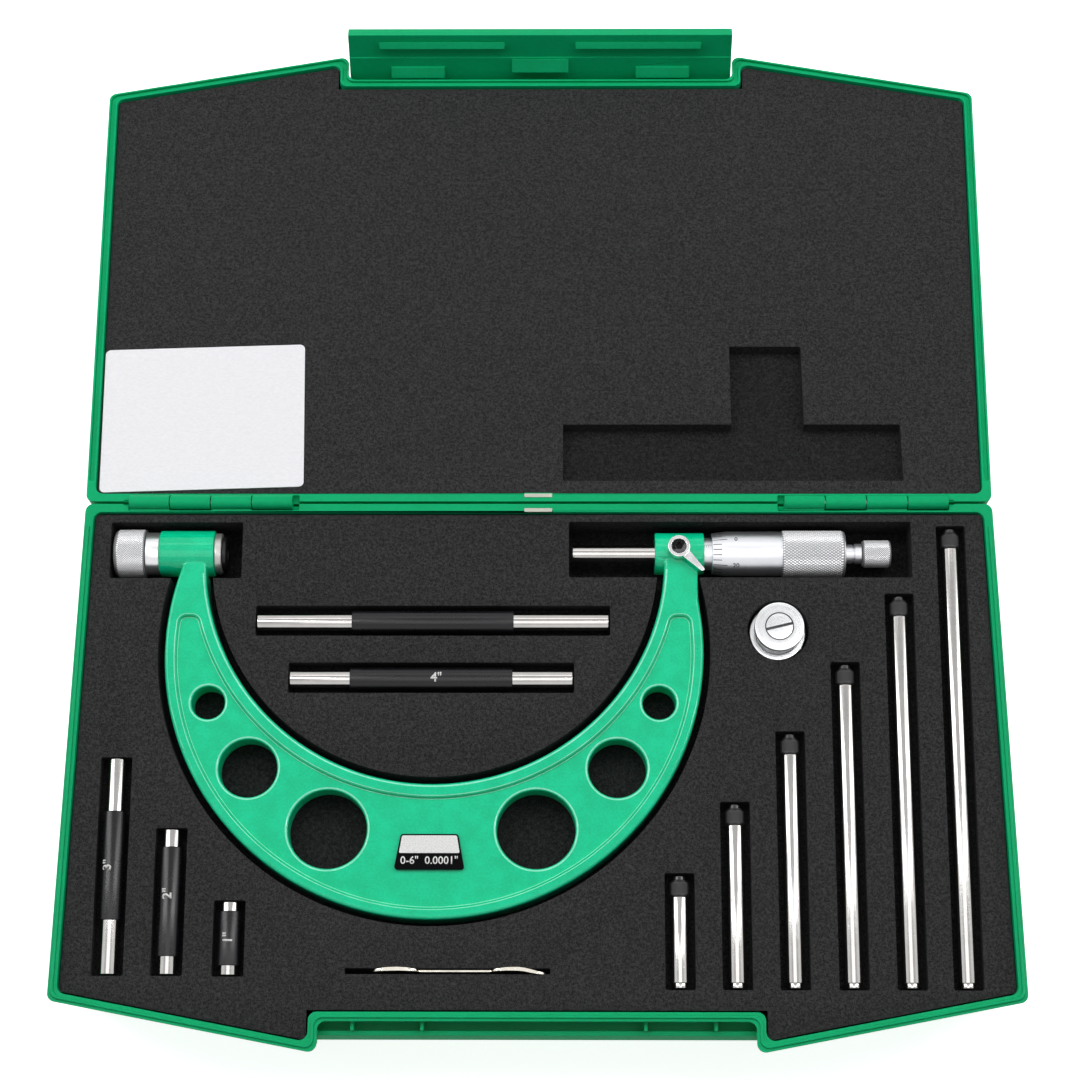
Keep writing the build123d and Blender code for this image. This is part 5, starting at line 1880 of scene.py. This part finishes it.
    def lock(self) -> None:
        """The lever that locks the spindle, and its screw, with painted shade in the screw's
        socket.
        """
        cast = PlainMetal("Lever_chrome", self.lever_chrome, 0.2).build()
        Deburr(0.5, 4).build("lock_lever", cast, "satin_chrome")
        gloss = PlainMetal("Screw_black", self.screw_black, 0.14, metallic=0.9).build()
        screw = Deburr(0.35, 3).build("lock_screw", gloss, "black_steel")
        low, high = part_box("lock_screw")
        middle = (low + high) / 2
        # the socket's walls and floor are painted near black: painted shade in the hollow
        socket = PlainMetal("Socket_black", self.socket_painted_shade, 0.3, metallic=0.9).build()
        depth, radius = mm(1.8), mm(1.35)
        Bench.second(screw, socket, lambda co, no: co.z > high.z - depth
                     and (co - middle).xy.length < radius)

    def plate(self) -> None:
        """The plate on the frame: black, with a bare white field and the sizes below it."""
        low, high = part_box("name_plate")
        middle = (low.x + high.x) / 2
        black = Ink("Plate_black", self.plate_black, 0.03).build()
        piece = Deburr(0.12).build("name_plate", black, "plate")
        white = Ink("Plate_white", self.plate_white).build()
        band, border, lift = mm(self.plate_band), mm(self.plate_border), mm(self.plate_lift)
        head = mm(self.plate_head)
        lean = ((high.x - low.x) / 2 - head) / (high.y - low.y)
        wide = head + lean * (high.y - low.y - band) - border
        narrow = head + lean * border - border
        panel = Bench.block("plate_field",
                            Vector((middle - wide, low.y + band, high.z - lift)),
                            Vector((middle + wide, high.y - border, high.z + lift)))
        Bench.stretch(panel, lambda co: co.y > high.y - 2 * border, (narrow / wide, 1, 1),
                      (middle, 0, 0))
        Bench.round_uprights(panel, 0.5)
        Bench.dress(panel, white, "plate")
        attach(panel, piece["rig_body"])
        place = Matrix.Translation(Vector((middle, low.y + mm(self.plate_line),
                                           high.z + mm(1))))
        Lettering("0-6\"  0.0001\"", 2.7, 0.05, 0.045, 3.0).printed(
            "plate_numbers", piece, place, white, "plate")


# ------------------------------------------------------------------ loose tools
@dataclass
class LooseTools:
    """Anvils, setting standards, the slotted knob and the spanner."""

    head_black: Colour = (0.06, 0.06, 0.062, 1.0)
    # painted shade in the grooves of the collars' knurling and painted highlight on its peaks
    collar_groove_painted_shade: Colour = (0.022, 0.022, 0.022, 1.0)
    collar_peak_painted_highlight: Colour = (0.12, 0.12, 0.123, 1.0)
    sleeve_dark: Colour = (0.003, 0.003, 0.0045, 1.0)
    sleeve_light: Colour = (0.006, 0.006, 0.008, 1.0)
    number_white: Colour = (0.78, 0.78, 0.76, 1.0)
    spanner_steel: Colour = (0.60, 0.565, 0.50, 1.0)
    knob_chrome: Colour = (0.88, 0.885, 0.90, 1.0)
    # dark grey for the faces of the knob's ring gap and screw slot: painted shade
    gap_painted_shade: Colour = (0.10, 0.10, 0.105, 1.0)
    shoulder: float = 7.5
    tip: float = 1.8
    collar_radius: float = 3.4
    collar_depth: float = 0.12
    sleeve_radius: float = 4.1
    # how far each number is turned round its sleeve, and moved along it
    numbers: tuple[tuple[float, float], ...] = ((0.0, 0.0), (6.0, -2.6), (20.0, 0.0), (4.0, 1.9))
    # how much of the spanner's thickness stays
    slim: float = 0.66
    # (distance from the spanner's left end, move, how far it spreads)
    bows: tuple[tuple[float, float, float], ...] = (
        (9.0, 0.75, 11.0), (50.0, 0.8, 12.0), (61.0, -0.9, 9.0))
    slot_turn: float = math.radians(13.5)

    def build(self) -> None:
        """Finishes every loose piece."""
        self.anvils(Lathe(Along.FRONT))
        self.setting_standards()
        self.slotted_knob(Lathe(Along.UP))
        steel = PlainMetal("Spanner_steel", self.spanner_steel, 0.25).build()
        Deburr(0.15, before=self.bow_heads).build("spanner", steel, "satin_chrome")

    def bow_heads(self, strip: Piece) -> None:
        """Slims the spanner and bows both heads backwards, and its right end forwards.

        Args:
            strip: the copy of the spanner.
        """
        low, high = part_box("spanner")
        Bench.stretch(strip, lambda co: True, (1, self.slim, 1), (low + high) / 2)
        for along, move, spread in self.bows:
            Bench.push(strip, lambda co: abs(co.x - low.x - mm(along)) < mm(1.5),
                       (0, mm(move), 0), use_proportional_edit=True,
                       proportional_edit_falloff="SMOOTH", proportional_size=mm(spread))

    @staticmethod
    def ground(name: str, lathe: Lathe, node: str) -> Paint:
        """The ground steel of one rod.

        Args:
            name: the material's name.
            lathe: the lathe of its axis.
            node: the rod's solid.

        Returns:
            The material.
        """
        return TurnedMetal(name, STEEL, lathe.along, tuple(lathe.start(node) / MM), 0.14,
                           0.08).build()

    def anvils(self, lathe: Lathe) -> None:
        """Six anvil rods, each with a black head and a knurled black collar.

        Args:
            lathe: the lathe of axes that point to the front.
        """
        black = PlainMetal("Head_black", self.head_black, 0.3, 1800.0, 0.8).build()
        shoulder, tip, head = self.shoulder, self.tip, 2.1
        for step in range(1, 7):
            node = f"anvil_{step}_rod"
            end = lathe.length(node)
            profile = [*lathe.rounded(0, shoulder, head, 0.3)[:4], (shoulder, head),
                       *lathe.rounded(shoulder, end - tip, ROD_RADIUS, 0.2),
                       *lathe.rounded(end - tip, end, 2.6, 0.25)]
            piece = lathe.turn(node, profile, self.ground(f"Anvil_steel_{step}", lathe, node),
                               "steel")
            edge = lathe.start(node).y - mm(shoulder - 0.1)
            Bench.second(piece, black, lambda co, no: co.y > edge)
            self.collar(lathe, f"anvil_{step}_collar")

    def collar(self, lathe: Lathe, node: str) -> None:
        """One collar: a short neck, a knurled band and a rounded lower edge.

        Args:
            lathe: the lathe of its axis.
            node: its solid.
        """
        end, radius, bore = lathe.length(node), self.collar_radius, 2.12
        root = radius - self.collar_depth
        grip = KnurledMetal(f"{node}_grip", self.collar_groove_painted_shade, self.collar_peak_painted_highlight, Along.FRONT,
                            tuple(lathe.start(node) / MM), (root, radius), metallic=0.7).build()
        lathe.knurl(node, [(0, bore), (0, 2.7), (0.12, 2.82), (0.5, 2.85), (0.55, root - 0.2),
                           (0.75, root)],
                    Knurl(0.9, end - 0.7, radius, 0.6, 0.6, self.collar_depth),
                    [(end - 0.45, root), (end - 0.2, root - 0.1), (end - 0.05, root - 0.3),
                     (end - 0.05, bore)], grip, "black_steel", True)

    def setting_standards(self) -> None:
        """Five standards, each a steel rod with a black sleeve; four show their size."""
        plastic = MouldedPlastic("Sleeve_black", self.sleeve_dark, self.sleeve_light, 0.27, 0.42,
                                 3000.0, 0.000002).build()
        white = Ink("Sleeve_white", self.number_white).build()
        bore = 3.2
        for inches in range(1, 6):
            rod, cover = f"standard_{inches}_inch_rod", f"standard_{inches}_inch_sleeve"
            low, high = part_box(rod)
            across = high.x - low.x > high.y - low.y
            lathe = Lathe(Along.RIGHT if across else Along.FRONT)
            lathe.turn(rod, lathe.rounded(0, lathe.length(rod), ROD_RADIUS, 0.3),
                       self.ground(f"Standard_steel_{inches}", lathe, rod), "steel")
            end = lathe.length(cover)
            sleeve = lathe.turn(cover, [(0, bore), *lathe.rounded(0, end, self.sleeve_radius, 0.3),
                                        (end, bore)], plastic, "black_plastic", True)
            if inches <= len(self.numbers):
                self.number(sleeve, inches, cover, across, white)

    def number(self, sleeve: Piece, inches: int, node: str, across: bool, ink: Paint) -> None:
        """Prints one size on its sleeve.

        Args:
            sleeve: the finished sleeve.
            inches: the size.
            node: the sleeve's solid.
            across: whether it lies along X rather than along Y.
            ink: the material.
        """
        low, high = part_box(node)
        degrees, shift = self.numbers[inches - 1]
        side, quarter = (1, 0.0) if across else (-1, math.pi / 2)
        place = (Matrix.Translation((low + high) / 2) @ Matrix.Rotation(quarter, 4, "Z")
                 @ Matrix.Translation(mm(side * shift, 0, 0))
                 @ Matrix.Rotation(side * math.radians(degrees), 4, "X")
                 @ Matrix.Translation(mm(0, 0, self.sleeve_radius + Lettering.hover)))
        Lettering(f"{inches}\"", 3.3, 0.03, 0.1).printed(f"{node}_number", sleeve, place, ink,
                                                         "black_plastic")

    def slotted_knob(self, lathe: Lathe) -> None:
        """The round knob: a flanged body with a slotted screw in its face, and painted shade in
        the ring gap round the screw and in the slot.

        Args:
            lathe: the lathe of upright axes.
        """
        body, screw = "slotted_knob_body", "slotted_knob_screw"
        low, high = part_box(body)
        middle = (low + high) / 2
        chrome = TurnedMetal("Knob_chrome", self.knob_chrome, Along.UP, tuple(middle / MM),
                             0.26, 0.14, 2600.0, 0.000005).build()
        gap = PlainMetal("Knob_gap", self.gap_painted_shade, 0.5, metallic=0.6).build()
        mouth, core, bore, floor = 5.2, 4.82, 3.02, 9.9
        end = lathe.length(body)
        knob = lathe.turn(body, [
            (0, bore), *lathe.rounded(0, 2.6, 10.25, 0.4), (2.6, 8.2), (3.0, 7.5), (3.8, 7.0),
            (8.9, 7.0), *lathe.rounded(8.9, end, 8.9, 0.45), (end, mouth), (end - 0.5, core),
            (floor, core), (floor, bore)], chrome, "satin_chrome", True, 128)
        # the faces down in the ring gap are painted dark grey: painted shade
        Bench.second(knob, gap, lambda co, no: co.z < high.z - mm(0.01)
                     and (co - middle).xy.length < mm(mouth))
        end, seat = lathe.length(screw), 9.92
        piece = lathe.mesh(f"{screw}_turned", screw,
                           [(0, 3.0), (seat, 3.0), *lathe.rounded(seat, end, 4.8, 0.2)], 96)
        slot = Bench.block("screw_slot", mm(-9, -0.5, -1.0), mm(9, 0.5, 1.0))
        Bench.settle(slot, Matrix.Translation(Vector((middle.x, middle.y, high.z)))
                     @ Matrix.Rotation(self.slot_turn, 4, "Z"))
        Bench.carve(piece, slot)
        Bench.smooth(piece, lathe.plain_sharp)
        Bench.stand_for(piece, screw, chrome, "satin_chrome")
        # the slot's walls and floor get the same painted shade
        Bench.second(piece, gap, lambda co, no: high.z - mm(1.1) < co.z < high.z - mm(0.05)
                     and (co - middle).xy.length < mm(4.7))


# ------------------------------------------------------------------ studio
@dataclass(frozen=True)
class SoftBox:
    """One area lamp; places and sizes are in metres and its power in watts."""

    name: str
    place: tuple[float, float, float]
    size: tuple[float, float]
    power: float
    diffuse: bool = True
    glossy: bool = True

    def hang(self, aim: Vector) -> None:
        """Adds the lamp to the scene.

        Args:
            aim: the point that it faces.
        """
        data = bpy.data.lights.new(self.name, "AREA")
        data.shape = "RECTANGLE"
        data.size, data.size_y = self.size
        data.energy = self.power
        lamp = bpy.data.objects.new(self.name, data)
        bpy.context.scene.collection.objects.link(lamp)
        lamp.location = self.place
        lamp.rotation_mode = "QUATERNION"
        lamp.rotation_quaternion = (aim - Vector(self.place)).to_track_quat("-Z", "Y")
        lamp.visible_diffuse = self.diffuse
        lamp.visible_glossy = self.glossy


@dataclass
class Studio:
    """Camera, floor, world and lamps."""

    eye: tuple[float, float, float] = (9.095, -175.74, 963.39)
    tilt: float = math.radians(15.887)
    lean: float = math.radians(0.506)
    roll: float = math.radians(0.007)
    lens: float = 87.32
    # in metres; the floor lies just below the case's feet
    floor_size: float = 6.0
    floor_drop: float = 0.0005
    # what each kind of ray sees of the floor and of the surround
    floor_camera: float = 0.82
    floor_mirrored: float = 0.2
    floor_grey: Colour = (0.9, 0.9, 0.9, 1.0)
    wall: float = 0.8
    ceiling: float = 0.42
    wall_camera: float = 0.78
    ambient: float = 0.22
    aim: tuple[float, float, float] = (0.0, 0.05, 0.03)
    lamps: tuple[SoftBox, ...] = (
        SoftBox("Behind", (0.0, 1.2, 2.3), (2.6, 1.5), 34.5, glossy=False),
        SoftBox("Strip", (0.0, -0.35, 1.8), (1.3, 1.0), 5.5, diffuse=False),
        SoftBox("Top", (0.0, 0.45, 1.8), (1.3, 0.6), 0.35, diffuse=False),
        SoftBox("Glint_behind", (0.0, 1.0, 1.25), (1.3, 0.3), 1.8, diffuse=False),
        SoftBox("Glint_left", (-1.0, 0.1, 1.3), (0.1, 1.2), 4.5, diffuse=False),
        SoftBox("Glint_right", (1.0, 0.1, 1.3), (0.1, 1.2), 4.5, diffuse=False),
        SoftBox("Left", (-1.25, 0.5, 1.1), (0.45, 1.5), 7.5),
        SoftBox("Right", (1.3, 0.45, 1.15), (0.45, 1.5), 7.0))

    def camera(self) -> None:
        """Sets up the camera."""
        data = bpy.data.cameras.new("Camera")
        data.lens = self.lens
        data.sensor_width = 36.0
        data.clip_start = 0.05
        data.clip_end = 20.0
        camera = bpy.data.objects.new("Camera", data)
        bpy.context.scene.collection.objects.link(camera)
        turn = (Matrix.Rotation(self.tilt, 4, "X") @ Matrix.Rotation(self.lean, 4, "Y")
                @ Matrix.Rotation(self.roll, 4, "Z"))
        camera.matrix_world = Matrix.Translation(mm(*self.eye)) @ turn
        bpy.context.scene.camera = camera

    def floor(self) -> None:
        """A pale floor that shows white and keeps the shadow."""
        Bench.clear()
        bpy.ops.mesh.primitive_plane_add(size=self.floor_size,
                                         location=(0, 0, -self.floor_drop))
        floor = Bench.name(bpy.context.object, "studio_floor")
        surface = Surface("Studio_floor")
        glow = surface.board.rays(self.floor_camera, self.floor_mirrored)
        surface.set(Base_Color=self.floor_grey, Roughness=0.9, Specular_IOR_Level=0.1,
                    Emission_Color=WHITE, Emission_Strength=glow)
        floor.data.materials.append(surface.material)
        floor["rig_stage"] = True

    def world(self) -> None:
        """An even pale surround; what the camera and gloss see of it is white."""
        world = bpy.data.worlds.new("Studio")
        bpy.context.scene.world = world
        world.use_nodes = True
        board = NodeBoard(world.node_tree)
        up = board.fill(board.add("ShaderNodeSeparateXYZ"), Vector=board.place()).outputs[2]
        walls = board.ramp(up, 0.55, 0.92, self.wall, self.ceiling)
        board.fill(world.node_tree.nodes["Background"], Color=WHITE,
                   Strength=board.plus(board.rays(self.wall_camera, walls), self.ambient))

    def build(self) -> None:
        """Sets up everything round the object."""
        bpy.context.scene.view_settings.view_transform = "Standard"
        self.camera()
        self.floor()
        self.world()
        for lamp in self.lamps:
            lamp.hang(Vector(self.aim))


def report(names: Iterable[str]) -> None:
    """Logs each piece of the object."""
    for name in sorted(names):
        LOG.info("piece %s", name)


def main() -> None:
    """Builds the studio and every sub-assembly, in order."""
    logging.basicConfig(level=logging.INFO, format="%(name)s: %(message)s")
    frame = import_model()
    Bench.frame = frame
    Studio().build()
    Surface.effects = SharedEffects()
    for part in (HingedBox(), FoamInserts(), Micrometer(), LooseTools()):
        part.build()
    report(piece.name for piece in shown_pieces())


if __name__ == "__main__":
    main()
